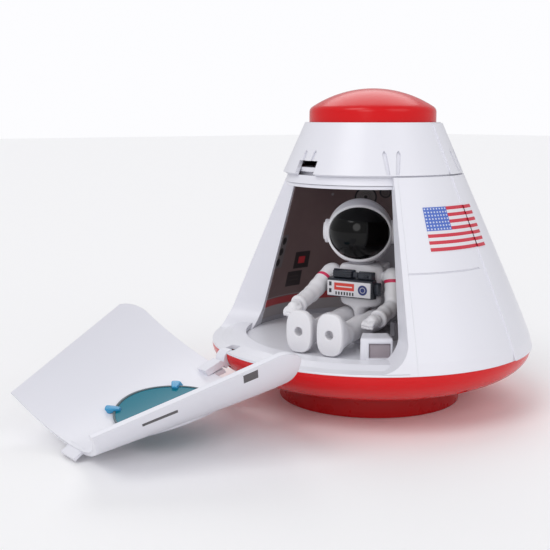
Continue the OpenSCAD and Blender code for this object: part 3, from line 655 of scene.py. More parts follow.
def smoothed(mesh: bpy.types.Mesh, gap: float, sharp: float) -> None:
    """Merges doubles, turns faces outwards and keeps edges over an angle in degrees sharp.

    Args:
        mesh: the mesh.
        gap: points this close in metres are merged.
        sharp: the angle.
    """
    outward(mesh, gap)
    mesh.shade_smooth()
    mesh.set_sharp_from_angle(angle=math.radians(sharp))


def new_piece(name: str, verts: Sequence[Sequence[float]], faces: Sequence[Sequence[int]],
              sharp: float = CREASE) -> bpy.types.Object:
    """Makes a closed mesh object from millimetre points.

    Args:
        name: the object's name.
        verts: points in millimetres.
        faces: indices of each face's points.
        sharp: angle in degrees over which an edge stays sharp.

    Returns:
        The new object, at the origin.
    """
    mesh = bpy.data.meshes.new(name)
    mesh.from_pydata([Vector(v) * MM for v in verts], [], faces)
    smoothed(mesh, DOUBLES, sharp)
    return placed(name, mesh)


def applied(piece: bpy.types.Object, sharp: float = CREASE) -> bpy.types.Object:
    """Turns a piece with modifiers into a plain mesh with outward faces.

    Args:
        piece: the object whose modifiers are applied.
        sharp: angle in degrees over which an edge stays sharp.

    Returns:
        The same object, without modifiers.
    """
    graph = bpy.context.evaluated_depsgraph_get()
    mesh = bpy.data.meshes.new_from_object(piece.evaluated_get(graph))
    piece.modifiers.clear()
    piece.data = mesh
    smoothed(mesh, DOUBLES / 2, sharp)
    return piece


def around(count: int) -> list[float]:
    """Returns even angles round a ring."""
    return [2 * math.pi * i / count for i in range(count)]


def bent(value: float, power: float) -> float:
    """Raises a sine or cosine to a power and keeps its sign."""
    return math.copysign(abs(value) ** power, value)


def merged(parts: Sequence[Skin]) -> Skin:
    """Joins the points and faces of several closed parts into one list each.

    Args:
        parts: points and faces of each part.

    Returns:
        All the points and all the faces.
    """
    verts: list = []
    faces: list = []
    for more_v, more_f in parts:
        faces += [[i + len(verts) for i in f] for f in more_f]
        verts += more_v
    return verts, faces


def skin_loops(loops: Sequence[Sequence[Sequence[float]]], closed: bool = True) -> Skin:
    """Joins rings of points into a tube with an end face at each end.

    Args:
        loops: rings with the same number of points.
        closed: whether both ends get a fan of faces.

    Returns:
        The points and the faces.
    """
    verts: list = [p for loop in loops for p in loop]
    count = len(loops[0])
    faces: list = []
    for i in range(len(loops) - 1):
        for j in range(count):
            k = (j + 1) % count
            faces.append((i * count + j, i * count + k, (i + 1) * count + k, (i + 1) * count + j))
    if closed:
        for row in (0, len(loops) - 1):
            ring = loops[row]
            middle = len(verts)
            verts.append([sum(p[c] for p in ring) / count for c in range(3)])
            faces += [(middle, row * count + j, row * count + (j + 1) % count) for j in range(count)]
    return verts, faces


def new_tree(name: str, **inputs: str) -> bpy.types.NodeTree:
    """Starts a Geometry Nodes tree with one geometry output.

    Args:
        name: the tree's name.
        inputs: the kind of each named input, with _ for a space.

    Returns:
        The tree, without nodes.
    """
    tree = bpy.data.node_groups.new(name, "GeometryNodeTree")
    for key, kind in inputs.items():
        tree.interface.new_socket(key.replace("_", " "), in_out="INPUT", socket_type=f"NodeSocket{kind}")
    tree.interface.new_socket("Geometry", in_out="OUTPUT", socket_type="NodeSocketGeometry")
    return tree


def end_tree(tree: bpy.types.NodeTree, geometry: Socket, material: Socket) -> None:
    """Ends a tree in Realize Instances and Set Material.

    Args:
        tree: the tree.
        geometry: what it made.
        material: the material's socket.
    """
    add, link = tree.nodes.new, tree.links.new
    real, dress = add("GeometryNodeRealizeInstances"), add("GeometryNodeSetMaterial")
    link(geometry, real.inputs[0])
    link(real.outputs[0], dress.inputs["Geometry"])
    link(material, dress.inputs["Material"])
    link(dress.outputs[0], add("NodeGroupOutput").inputs[0])


def turned_tree() -> bpy.types.NodeTree:
    """Builds the Geometry Nodes tree that turns a profile round the Z axis.

    Returns:
        A tree whose input geometry is the profile's points, as (radius, 0, height).
    """
    tree = new_tree("turned_profile", Profile="Geometry", Profile_Points="Int", Segments="Int",
                    Start_Angle="Float", Sweep_Angle="Float", Material="Material")
    wiring = Wiring(tree)
    add, link, calc = tree.nodes.new, tree.links.new, wiring.calc
    source = add("NodeGroupInput")
    grid, index = add("GeometryNodeMeshGrid"), add("GeometryNodeInputIndex")
    columns = calc("ADD", source.outputs["Segments"], 1.0)
    link(columns, grid.inputs["Vertices X"])
    link(source.outputs["Profile Points"], grid.inputs["Vertices Y"])
    row = calc("MODULO", index.outputs[0], source.outputs["Profile Points"])
    column = calc("FLOOR", calc("DIVIDE", index.outputs[0], source.outputs["Profile Points"]))
    place = add("GeometryNodeInputPosition")
    sample = add("GeometryNodeSampleIndex")
    sample.data_type = "FLOAT_VECTOR"
    link(source.outputs["Profile"], sample.inputs["Geometry"])
    link(place.outputs[0], sample.inputs["Value"])
    link(row, sample.inputs["Index"])
    split = add("ShaderNodeSeparateXYZ")
    link(sample.outputs["Value"], split.inputs[0])
    share = calc("DIVIDE", column, source.outputs["Segments"])
    angle = calc("ADD", wiring.times(share, source.outputs["Sweep Angle"]), source.outputs["Start Angle"])
    joined = add("ShaderNodeCombineXYZ")
    link(wiring.times(split.outputs[0], calc("SINE", angle)), joined.inputs[0])
    minus = wiring.times(split.outputs[0], -1.0)
    link(wiring.times(minus, calc("COSINE", angle)), joined.inputs[1])
    link(split.outputs[2], joined.inputs[2])
    move, merge = add("GeometryNodeSetPosition"), add("GeometryNodeMergeByDistance")
    merge.inputs["Distance"].default_value = DOUBLES
    link(grid.outputs[0], move.inputs["Geometry"])
    link(joined.outputs[0], move.inputs["Position"])
    link(move.outputs[0], merge.inputs["Geometry"])
    end_tree(tree, merge.outputs[0], source.outputs["Material"])
    return tree


def ring_tree() -> bpy.types.NodeTree:
    """Builds the Geometry Nodes tree that sets copies of a small part round a ring.

    Returns:
        A tree whose input geometry is one part, drawn on the +X side of the ring.
    """
    tree = new_tree("ring_of_parts", Part="Geometry", Count="Int", First_Angle="Float", Step_Angle="Float",
                    Material="Material")
    wiring = Wiring(tree)
    add, link = tree.nodes.new, tree.links.new
    source = add("NodeGroupInput")
    points, index = add("GeometryNodeMeshLine"), add("GeometryNodeInputIndex")
    points.inputs["Offset"].default_value = (0, 0, 0)
    link(source.outputs["Count"], points.inputs["Count"])
    step = wiring.times(index.outputs[0], source.outputs["Step Angle"])
    spin = add("ShaderNodeCombineXYZ")
    link(wiring.calc("ADD", step, source.outputs["First Angle"]), spin.inputs[2])
    copies = add("GeometryNodeInstanceOnPoints")
    link(points.outputs[0], copies.inputs["Points"])
    link(source.outputs["Part"], copies.inputs["Instance"])
    turn = add("FunctionNodeEulerToRotation")
    link(spin.outputs[0], turn.inputs[0])
    link(turn.outputs[0], copies.inputs["Rotation"])
    end_tree(tree, copies.outputs[0], source.outputs["Material"])
    return tree


def with_tree(piece: bpy.types.Object, tree: bpy.types.NodeTree, sharp: float = CREASE,
              **values: object) -> bpy.types.Object:
    """Runs a Geometry Nodes tree on a piece and keeps its result as a plain mesh.

    Args:
        piece: the object that holds the input geometry.
        tree: the tree.
        sharp: angle in degrees over which an edge stays sharp.
        values: the tree's inputs, by name with _ for a space.

    Returns:
        The same object.
    """
    modifier = piece.modifiers.new("shape", "NODES")
    modifier.node_group = tree
    for item in tree.interface.items_tree:
        key = item.name.replace(" ", "_")
        if item.in_out == "INPUT" and key in values:
            modifier[item.identifier] = values[key]
    return applied(piece, sharp)


def rounded(profile: Sequence[tuple[float, float, float]], steps: int = 4) -> list[tuple[float, float]]:
    """Rounds the corners of a flat outline.

    Args:
        profile: corners as (x, y, radius).
        steps: stretches in each rounding.

    Returns:
        The outline's points.
    """
    out: list[tuple[float, float]] = []
    count = len(profile)
    for i, (x, y, radius) in enumerate(profile):
        here = Vector((x, y))
        back = Vector(profile[i - 1][:2]) - here
        on = Vector(profile[(i + 1) % count][:2]) - here
        if radius <= 0 or back.length < 1e-6 or on.length < 1e-6:
            out.append((x, y))
            continue
        half = back.angle(on) / 2
        reach = min(radius / max(math.tan(half), 1e-3), back.length * 0.49, on.length * 0.49)
        start, stop = here + back.normalized() * reach, here + on.normalized() * reach
        for k in range(steps + 1):
            t = k / steps
            spot = start * (1 - t) ** 2 + here * 2 * t * (1 - t) + stop * t ** 2
            out.append((spot.x, spot.y))
    return out


@dataclass
class Workshop:
    """What every sub-assembly needs: the frame's nodes, the finishes and the shared trees."""

    nodes: dict
    palette: Palette = field(default_factory=Palette)
    turned: bpy.types.NodeTree = field(default_factory=turned_tree)
    ringed: bpy.types.NodeTree = field(default_factory=ring_tree)

    def dress(self, finish: Finish, *names: str) -> None:
        """Gives CAD nodes a finish.

        Args:
            finish: the finish.
            names: the nodes.
        """
        for name in names:
            mesh = self.nodes[name].data
            mesh.materials.clear()
            mesh.materials.append(self.palette.get(finish))

    def turn(self, name: str, profile: Sequence[tuple[float, float]], finish: Finish, segments: int = 192,
             start: float = 0.0, sweep: float = 360.0, sharp: float = CREASE) -> bpy.types.Object:
        """Turns a closed profile round the Z axis.

        Args:
            name: the piece's name.
            profile: (radius, height) points in millimetres; the first is not repeated.
            finish: its finish.
            segments: steps round the axis.
            start: azimuth it starts at, in degrees.
            sweep: azimuth it covers.
            sharp: angle in degrees over which an edge stays sharp.

        Returns:
            The turned piece.
        """
        points = [(r, 0.0, z) for r, z in (*profile, profile[0])]
        mesh = bpy.data.meshes.new(name)
        mesh.from_pydata([Vector(p) * MM for p in points], [], [])
        return with_tree(placed(name, mesh), self.turned, sharp, Profile_Points=len(points), Segments=segments,
                         Start_Angle=math.radians(start), Sweep_Angle=math.radians(sweep),
                         Material=self.palette.get(finish))

    def keep(self, piece: bpy.types.Object, finish: Finish, body: str, slot: str, *stands_for: str) -> None:
        """Finishes a piece: its material, its body and the nodes it stands for.

        Args:
            piece: the piece.
            finish: its finish.
            body: the CAD body it rides on.
            slot: the record's material slot; not used.
            stands_for: CAD nodes that it replaces.
        """
        piece.data.materials.clear()
        piece.data.materials.append(self.palette.get(finish))
        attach(piece, body)
        if stands_for:
            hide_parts(*stands_for)
        LOG.info("%s: %d faces on %s", piece.name, len(piece.data.polygons), body)


# ---------------------------------------------------------------- capsule


@dataclass
class Base:
    """The red bowl, its foot and what is under it."""

    shop: Workshop

    def build(self) -> None:
        """Dresses the base's CAD nodes."""
        shop = self.shop
        shop.dress(RED, "base_bowl")
        # The foot ring of bottom_cover gets the darker red, its shade painted into its colour; the battery door
        # shares it.
        shop.dress(SHADED_RED, "bottom_cover", "battery_door")
        shop.dress(STEEL, "battery_door_screw", "battery_contacts", "base_screws", "cabin_screws", "hinge_pins")
        shop.dress(CELL, "battery_cells")
        shop.dress(BLACK, "speaker_frame", "board_parts", "press_switch")
        shop.dress(PAPER, "speaker_cone")
        shop.dress(BOARD, "sound_board")
        LOG.info("base dressed")


@dataclass
class Cabin:
    """The white cone with its doorway surround, collar, flag and cockpit."""

    shop: Workshop
    recess_az: tuple[float, float] = (47.2, 56.8)
    recess_r: tuple[float, float] = (51.4, 58.4)
    recess_z: tuple[float, float] = (32.4, 39.9)

    def build(self) -> None:
        """Dresses the cabin's CAD nodes."""
        shop = self.shop
        shop.dress(WHITE, "cabin_shell", "door_frame", "nose_collar", "cockpit_ceiling", "nose_bulkhead")
        shop.dress(FLOOR, "cockpit_floor")
        shop.dress(GREY, "cockpit_liner", "seat")
        shop.dress(CONSOLE, "side_console")
        (inner, outer), (low, high) = self.recess_r, self.recess_z
        start, stop = self.recess_az
        profile = rounded([(inner, low, 0.0), (outer, low, 0.8), (outer, high, 0.8), (inner, high, 0.0)])
        # The recess's back face is coloured grey-purple, the recess's shade painted into it.
        face = shop.turn("console_face", profile, RECESS_SHADE, 24, start, stop - start)
        shop.keep(face, RECESS_SHADE, "capsule", "grey_plastic")
        shop.dress(LAMP, "cockpit_lamp")
        shop.dress(PanelPrint("printed_sheet", (0.07, 0.045, 0.045), roughness=0.5, edge=0.05), "instrument_sheet")
        shop.dress(FlagPrint("flag_print", (0.6, 0.03, 0.04), roughness=0.42, edge=0.02), "flag_decal")
        LOG.info("cabin dressed")


@dataclass
class Nose:
    """The red domed push button with its spring."""

    shop: Workshop
    radius: float = 32.7
    wall: float = 2.2
    crown: float = 57.0
    shoulder: float = 3.4
    stem: float = 4.0
    stem_low: float = 126.9
    rim_low: float = 139.1
    lip: float = 1.1
    lip_tall: float = 1.2
    stem_round: float = 0.5
    stem_fillet: float = 0.8

    def build(self) -> None:
        """Makes the dome with its inner stem."""
        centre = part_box("nose_button")[1][2] / MM - self.crown
        reach = self.radius - self.shoulder
        ring = centre + math.sqrt((self.crown - self.shoulder) ** 2 - reach ** 2)
        end = math.atan2(ring - centre, reach)

        def dome(depth: float) -> list[tuple[float, float]]:
            """Returns the dome's line at a depth under its surface, from its rim up.

            Args:
                depth: millimetres under the surface.

            Returns:
                Points as (radius, height).
            """
            line = [(reach + (self.shoulder - depth) * math.cos(a), ring + (self.shoulder - depth) * math.sin(a))
                    for a in (end * i / 8 for i in range(9))]
            return line + [((self.crown - depth) * math.cos(a), centre + (self.crown - depth) * math.sin(a))
                           for a in (end + (math.pi / 2 - end) * i / 24 for i in range(1, 25))]

        inner = [p for p in dome(self.wall) if p[0] > self.stem + self.stem_fillet]
        inner_top = inner[-1][1]
        profile = [(0.0, self.stem_low), (self.stem - self.stem_round, self.stem_low),
                   (self.stem, self.stem_low + self.stem_round), (self.stem, inner_top - self.stem_fillet),
                   (self.stem + self.stem_fillet, inner_top)]
        profile += list(reversed(inner))[1:]
        lip_r, lip_top = self.radius + self.lip, self.rim_low + self.lip_tall
        profile += [(self.radius - self.wall, self.rim_low), (lip_r, self.rim_low), (lip_r, lip_top),
                    (self.radius, lip_top)]
        profile += dome(0.0)
        piece = self.shop.turn("nose_dome", profile, RED, segments=224, sharp=50)
        self.shop.keep(piece, RED, "button", "red_plastic", "nose_button")
        self.shop.dress(STEEL, "button_spring")


@dataclass
class Door:
    """The fold-down door, its window, its ring and its clips."""

    shop: Workshop
    hinge: Point = (0.0, -79.2, 26.8)
    opened: float = 124.0
    window_z: float = 74.0
    rim_r: float = 84.0
    rim_z: float = 30.3
    nose_r: float = 34.9
    nose_z: float = 144.3
    bulge: float = 1.2
    glass_out: float = 2.25
    glass_in: float = 3.5
    clip_mid: float = 22.3
    clip_over: float = 21.9
    clip_lift: float = 3.62

    def laid(self, point: Sequence[float]) -> Vector:
        """Moves a point from the closed door to the door at rest."""
        pivot = Vector(self.hinge)
        return Matrix.Rotation(math.radians(self.opened), 3, "X") @ (Vector(point) - pivot) + pivot

    def skin(self, z: float) -> float:
        """Returns the cabin's outer radius at a height in millimetres."""
        share = min(max((z - self.rim_z) / (self.nose_z - self.rim_z), 0.0), 1.0)
        return self.rim_r + (self.nose_r - self.rim_r) * share + self.bulge * math.sin(math.pi * share ** 0.45)

    def on_wall(self, x: float, z: float, depth: float) -> Vector:
        """Returns a point of the laid door, by its place across and up and its depth under the skin."""
        radius = self.skin(z) - depth
        return self.laid((x, -math.sqrt(max(radius * radius - x * x, 0.0)), z))

    def ring(self, reach: float, depth: float) -> list[Vector]:
        """Returns a ring of points round the window, by its radius and its depth under the skin."""
        return [self.on_wall(reach * math.cos(a), self.window_z + reach * math.sin(a), depth) for a in around(96)]

    def build(self) -> None:
        """Dresses the door and makes its pane, a dark ring round the pane that paints the rim's shadow, its clips and
        its slots.
        """
        shop = self.shop
        shop.dress(WHITE, "door_panel", "window_bezel")
        rows = [(reach, self.glass_out) for reach in (3.0, 6.0, 10.0, 14.0, 19.0, 21.3, 21.9)]
        rows += [(22.0, 2.5), (22.0, 3.3), (21.8, 3.55), (20.6, 3.55)]
        rows += [(reach, self.glass_in) for reach in (18.0, 14.0, 10.0, 6.0, 3.0)]
        pane = new_piece("window_glass", *skin_loops([self.ring(*row) for row in rows]))
        shop.keep(pane, TEAL, "door", "teal_pane", "window_pane")
        # A dark band round the pane's edge: the rim's shadow painted as a piece of its own.
        loops = [self.ring(*row) for row in ((22.1, 2.4), (22.1, 3.6), (22.0, 3.9), (21.2, 3.9), (21.1, 3.6),
                                             (22.1, 2.4))]
        ring = new_piece("pane_rim", *skin_loops(loops, closed=False))
        shop.keep(ring, RIM_SHADOW, "door", "grey_plastic")
        self.clips()
        self.marks()

    def marks(self) -> None:
        """Makes the two slots on the door's outer side, each a shallow dark inlay that paints the shade inside the
        slot.
        """
        for name, (left, right), (low, high) in (("short_slot", (52.5, 57.5), (52.0, 58.0)),
                                                 ("long_slot", (51.0, 53.2), (85.0, 99.0))):
            loops = []
            for depth in (0.5, -0.12):
                loop = []
                for az, z in ((left, low), (right, low), (right, high), (left, high)):
                    radius, turn = self.skin(z) - depth, math.radians(az)
                    loop.append(self.laid((radius * math.sin(turn), -radius * math.cos(turn), z)))
                loops.append(loop)
            inlay = new_piece(name, *skin_loops(loops))
            self.shop.keep(inlay, DARK_SLOT_SHADE, "door", "black_plastic")

    def clips(self) -> None:
        """Makes the four clips round the pane."""
        outline = rounded([(19.2, -1.1, 0.5), (21.6, -1.7, 0.8), (25.4, -2.2, 1.4), (25.4, 2.2, 1.4),
                           (21.6, 1.7, 0.8), (19.2, 1.1, 0.5)], 5)
        mid = self.clip_mid
        loops = [[(x * s + mid * (1 - s), y * s, d) for x, y in outline]
                 for s, d in ((0.9, 2.3), (1.0, 2.5), (1.0, 4.3), (0.93, 4.75), (0.8, 4.85))]
        mesh = bpy.data.meshes.new("clip")
        verts, faces = skin_loops(loops)
        mesh.from_pydata(verts, [], faces)
        piece = placed("pane_clips", mesh)
        with_tree(piece, self.shop.ringed, Count=4, First_Angle=math.pi / 4, Step_Angle=math.pi / 2,
                  Material=self.shop.palette.get(BLUE))
        for vertex in piece.data.vertices:
            x, y, depth = vertex.co
            if math.hypot(x, y) < self.clip_over:
                depth = max(depth, self.clip_lift)
            vertex.co = self.on_wall(x, self.window_z + y, depth) * MM
        outward(piece.data)
        self.shop.keep(piece, BLUE, "door", "blue_plastic", "window_clips")


# ---------------------------------------------------------------- astronaut


@dataclass
class Figure:
    """The seated astronaut: its suit is soft-moulded, with folds, cuffs and mitts."""

    shop: Workshop
    at: Point = (-2.0, -4.0, 40.8)
    turn: float = 22.0
    look: float = 22.0
    head_up: float = 47.0
    head_r: float = 17.2
    shoulder: Point = (17.6, 0.0, 23.5)
    hip_x: float = 8.5
    visor_wide: float = 0.92
    visor_high: float = 0.79
    trunk_side: float = 12.75
    peg_clear: float = 2.6
    sole_y: float = -54.0
    sole_z: float = 1.8

    def seated(self, point: Sequence[float]) -> Vector:
        """Moves a point from the figure's own frame to the capsule's."""
        return Matrix.Rotation(math.radians(self.turn), 3, "Z") @ Vector(point) + Vector(self.at)

    def headed(self, point: Sequence[float]) -> Vector:
        """Moves a point from the helmet's own frame to the capsule's."""
        looked = Matrix.Rotation(math.radians(self.look), 3, "Z") @ Vector(point)
        return self.seated(looked + Vector((0.0, -3.0, self.head_up)))

    def build(self) -> None:
        """Makes every piece of the figure."""
        self.body()
        self.helmet()
        self.pack()
        for side in Side:
            self.arm(side)
            self.leg(side)

    def body(self) -> None:
        """Makes the trunk, the hips and the neck ring."""
        loops = []
        rows = ((13.2, 9.6, 6.0), (13.8, 11.2, 7.2), (15.4, 11.7, 7.6), (17.0, 11.9, 7.6), (18.6, 11.9, 7.4),
                (20.2, 12.1, 7.4), (22.0, 12.2, 7.2), (24.0, 12.4, 6.9), (26.0, 12.4, 6.7), (27.8, 12.1, 6.7),
                (29.0, 11.0, 6.9), (29.7, 8.8, 7.0), (29.95, 6.8, 6.6))
        for z, wide, deep in rows:
            ring = []
            for a in around(64):
                fold = 0.18 * math.sin(3 * a + z * 1.9) * max(0.0, 1 - abs(z - 18) / 7)
                ring.append(self.seated(((wide + fold) * bent(math.cos(a), 0.86),
                                         (deep + fold) * bent(math.sin(a), 0.9) - 0.4, z)))
            loops.append(ring)
        trunk = new_piece("suit_trunk", *skin_loops(loops))
        self.shop.keep(trunk, SUIT, "figure", "suit_white", "torso")
        loops = []
        for z, wide, deep in ((-4.4, 1.9, 4.0), (-3.6, 2.1, 5.2), (0.0, 2.2, 6.0), (2.5, 2.5, 6.6), (4.0, 2.9, 6.8),
                              (5.0, 3.4, 7.0), (5.8, 4.1, 7.1), (6.5, 5.0, 7.2), (7.1, 6.4, 7.3), (7.6, 9.6, 7.3),
                              (8.3, 11.0, 7.5), (9.6, 11.6, 7.7), (11.0, 11.8, 7.6), (12.4, 11.7, 7.5),
                              (13.1, 11.0, 7.0)):
            loops.append([self.seated((wide * math.cos(a), deep * math.sin(a) - 0.2, z)) for a in around(64)])
        hips = new_piece("suit_hips", *skin_loops(loops))
        self.shop.keep(hips, SUIT, "figure", "suit_white", "pelvis")
        ring = self.shop.turn("collar_ring", rounded([(4.0, 30.1, 0.3), (6.9, 30.1, 0.5), (7.2, 30.9, 0.5),
                                                      (6.7, 31.7, 0.4), (4.0, 31.7, 0.3)]), GREY, 64)
        for vertex in ring.data.vertices:
            vertex.co = self.seated(vertex.co / MM) * MM
        self.shop.keep(ring, GREY, "figure", "grey_plastic", "neck_ring")

    def bowl_point(self, a: float, s: float, radius: float, back: bool) -> Vector:
        """Returns a point of the helmet's sphere on a fan of lines from one pole to the visor's edge.

        Args:
            a: angle round the visor's axis.
            s: share of the way from the pole to the edge.
            radius: sphere radius.
            back: whether the pole is behind, or in the middle of the visor.

        Returns:
            The point in the helmet's own frame.
        """
        across, up = self.visor_wide * math.cos(a), self.visor_high * math.sin(a)
        edge = math.asin(min(math.hypot(across, up), 0.999))
        spin = math.atan2(up, across)
        theta = s * (math.pi - edge) if back else s * edge
        forward = -math.cos(theta) if back else math.cos(theta)
        return Vector((radius * math.sin(theta) * math.cos(spin), -radius * forward,
                       radius * math.sin(theta) * math.sin(spin)))

    def helmet(self) -> None:
        """Makes the helmet, its visor and its ear pads."""
        count, floor = 96, -self.head_r + 2.2

        def loop(s: float, radius: float, back: bool = True, lowest: float = floor) -> list[Vector]:
            """Returns one ring of the helmet or of the visor.

            Args:
                s: share of the way from the pole to the visor's edge.
                radius: sphere radius.
                back: whether the pole is behind.
                lowest: height under which it is cut flat.

            Returns:
                The ring's points.
            """
            ring = []
            for a in around(count):
                p = self.bowl_point(a, s, radius, back)
                p.z = max(p.z, lowest)
                ring.append(self.headed(p))
            return ring

        outside = [loop(0.02 + 0.9 * i / 26, self.head_r) for i in range(27)]
        rim = [loop(0.94, self.head_r + 0.35), loop(0.965, self.head_r + 0.75), loop(0.985, self.head_r + 0.7),
               loop(1.0, self.head_r + 0.3), loop(1.004, self.head_r - 0.6), loop(1.0, self.head_r - 2.2)]
        inside = [loop(0.96 - 0.92 * i / 12, self.head_r - 2.4, True, floor + 1.8) for i in range(13)]
        shell = new_piece("helmet_shell", *skin_loops([*outside, *rim, *inside]), sharp=60)
        self.shop.keep(shell, SUIT, "head", "suit_white", "helmet")
        rows = [(0.03 + 0.95 * i / 16, self.head_r + 0.55 - 0.5 * (i / 16) ** 6) for i in range(17)]
        rows += [(0.985, self.head_r - 0.8), (0.97, self.head_r - 1.5)]
        rows += [(0.9 - 0.85 * i / 6, self.head_r - 1.6) for i in range(7)]
        visor = new_piece("visor_shield", *skin_loops([loop(*row, False, -99.0) for row in rows]), sharp=60)
        self.shop.keep(visor, VISOR, "head", "visor_black", "visor")
        pad = rounded([(0.0, 0.0, 0.0), (6.2, -1.0, 0.0), (6.2, 1.2, 0.6), (4.7, 1.5, 0.4), (4.4, 2.1, 0.5),
                       (0.0, 2.3, 0.0)])
        discs = [skin_loops([[self.headed((side.value * (self.head_r - 0.25 + h), r * math.cos(a), r * math.sin(a)))
                              for a in around(48)] for r, h in pad if r > 0.01]) for side in Side]
        pads = new_piece("ear_discs", *merged(discs))
        self.shop.keep(pads, SUIT, "head", "suit_white", "ear_pads")

    def block(self, size: Point, centre: Point, radius: float, taper: float) -> Skin:
        """Makes a box with rounded edges in the figure's frame.

        Args:
            size: its lengths across, deep and high.
            centre: its middle.
            radius: the rounding of its edges.
            taper: how much narrower its front is, in millimetres.

        Returns:
            The points and the faces.
        """
        wide, deep, high = (c / 2 for c in size)
        loops = []
        for depth, shrink in ((deep, radius), (deep - radius * 0.4, radius * 0.3), (deep - radius, 0.0),
                              (-deep + radius, taper), (-deep + radius * 0.3, taper + radius * 0.3),
                              (-deep, taper + radius)):
            flat = rounded([(-wide + shrink, -high + shrink, radius), (wide - shrink, -high + shrink, radius),
                            (wide - shrink, high - shrink, radius), (-wide + shrink, high - shrink, radius)])
            loops.append([self.seated((centre[0] + x, centre[1] + depth, centre[2] + z)) for x, z in flat])
        return skin_loops(loops)

    def blocks(self, name: str, rows: Sequence[tuple]) -> bpy.types.Object:
        """Joins several rounded boxes, each given by its arguments of block, into one piece."""
        return new_piece(name, *merged([self.block(*row) for row in rows]))

    def pack(self) -> None:
        """Makes the chest pack, its label and the life-support pack."""
        rows = [((27.0, 5.2, 10.4), (-1.4, -9.8, 17.6), 0.7, 0.4),
                ((12.8, 3.8, 5.0), (-6.4, -9.0, 24.6), 0.6, 0.9), ((9.4, 3.6, 4.4), (6.6, -9.0, 24.4), 0.6, 0.6),
                ((10.6, 1.0, 0.6), (-6.4, -10.9, 23.6), 0.2, 0.0), ((10.6, 1.0, 0.6), (-6.4, -10.8, 24.9), 0.2, 0.0),
                ((10.6, 1.0, 0.6), (-6.4, -10.6, 26.2), 0.2, 0.0), ((3.0, 1.6, 3.0), (1.4, -10.4, 24.8), 0.4, 0.2),
                ((2.6, 1.4, 1.6), (7.6, -11.0, 24.6), 0.4, 0.2), ((4.0, 3.0, 7.0), (12.8, -8.4, 17.8), 0.7, 0.6)]
        self.shop.keep(self.blocks("chest_box", rows), NAVY, "figure", "navy_plastic", "chest_pack")
        label = self.blocks("chest_label", [((25.0, 0.5, 8.0), (-1.6, -12.45, 17.4), 0.25, 0.0)])
        turn = math.radians(self.turn)
        spot = self.seated((-1.6, -12.6, 17.4))
        finish = LabelPrint("label_print", (0.7, 0.7, 0.72), roughness=0.4, edge=0.05,
                            origin=(spot.x, spot.y, spot.z), across=(math.cos(turn), math.sin(turn), 0.0))
        self.shop.keep(label, finish, "figure", "label_print", "pack_label")
        rows = [((21.0, 6.2, 16.2), (0.0, 10.6, 21.3), 1.4, 0.6), ((15.0, 2.4, 5.0), (0.0, 14.0, 25.0), 0.6, 0.3),
                ((15.0, 2.0, 1.0), (0.0, 13.8, 19.4), 0.3, 0.1), ((15.0, 2.0, 1.0), (0.0, 13.8, 17.2), 0.3, 0.1)]
        self.shop.keep(self.blocks("air_pack", rows), SUIT, "figure", "suit_white", "life_support_pack")

    def tube(self, path: Sequence[Sequence[float]], radii: Sequence[float], rings: int, fold: float = 0.0,
             pitch: float = 3.0, seed: float = 0.0, count: int = 56) -> Skin:
        """Sweeps a soft sleeve along a smooth path in the figure's frame.

        Args:
            path: control points.
            radii: the radius at each control point.
            rings: how many rings along it.
            fold: depth of the cloth-like folds in millimetres.
            pitch: length of one fold in millimetres.
            seed: shifts the folds.
            count: points round it.

        Returns:
            The points and the faces, in the capsule's frame.
        """
        knots = [Vector(p) for p in path]

        def at(t: float) -> tuple[Vector, float]:
            """Returns the path's point and radius at a share of its length.

            Args:
                t: the share, from 0 to 1.

            Returns:
                The point and the radius there.
            """
            span = t * (len(knots) - 1)
            i = min(int(span), len(knots) - 2)
            u = span - i
            before, here = knots[max(i - 1, 0)], knots[i]
            there, after = knots[i + 1], knots[min(i + 2, len(knots) - 1)]
            spot = 0.5 * ((2 * here) + (there - before) * u + (2 * before - 5 * here + 4 * there - after) * u * u
                          + (3 * here - before - 3 * there + after) * u ** 3)
            smooth = u * u * (3 - 2 * u)
            return spot, radii[i] * (1 - smooth) + radii[i + 1] * smooth

        loops = []
        length = sum((b - a).length for a, b in zip(knots, knots[1:]))
        for n in range(rings + 1):
            t = n / rings
            spot, radius = at(t)
            ahead, behind = at(min(t + 0.01, 1.0))[0], at(max(t - 0.01, 0.0))[0]
            axis = (ahead - behind).normalized()
            side = axis.cross(Vector((0.0, 0.0, 1.0)))
            side = side.normalized() if side.length > 0.1 else Vector((1.0, 0.0, 0.0))
            up = side.cross(axis)
            ring = []
            for a in around(count):
                out = side * math.cos(a) + up * math.sin(a)
                crease = math.sin(t * length / pitch * 2 * math.pi + 1.3 * math.sin(a + seed) + seed)
                swell = noise.noise((spot + out * radius) * 0.22 + Vector((seed, 0, 0)))
                ends = min(1.0, 6 * t, 6 * (1 - t))
                ring.append(self.seated(spot + out * (radius + ends * fold * (0.6 * crease + swell))))
            loops.append(ring)
        return skin_loops(loops)

    def joined(self, name: str, parts: Sequence[Skin], voxel: float, smooth: int) -> bpy.types.Object:
        """Fuses closed parts into one soft skin.

        Args:
            name: the piece's name.
            parts: points and faces of each part.
            voxel: size of the fusing grid in millimetres.
            smooth: rounds of smoothing.

        Returns:
            The fused piece.
        """
        piece = new_piece(name, *merged(parts))
        fuse = piece.modifiers.new("fuse", "REMESH")
        fuse.mode, fuse.voxel_size, fuse.use_smooth_shade = "VOXEL", voxel * MM, True
        even = piece.modifiers.new("even", "SMOOTH")
        even.factor, even.iterations = 0.5, smooth
        return applied(piece, SMOOTH)

    def ball(self, centre: Sequence[float], radius: float) -> Skin:
        """Returns the points and faces of a ball in the figure's frame.

        Args:
            centre: its middle.
            radius: its radius.

        Returns:
            The points and the faces.
        """
        loops = []
        for i in range(1, 12):
            polar = math.pi * i / 12
            loops.append([self.seated((centre[0] + radius * math.sin(polar) * math.cos(a),
                                       centre[1] + radius * math.sin(polar) * math.sin(a),
                                       centre[2] + radius * math.cos(polar))) for a in around(24)])
        return skin_loops(loops)

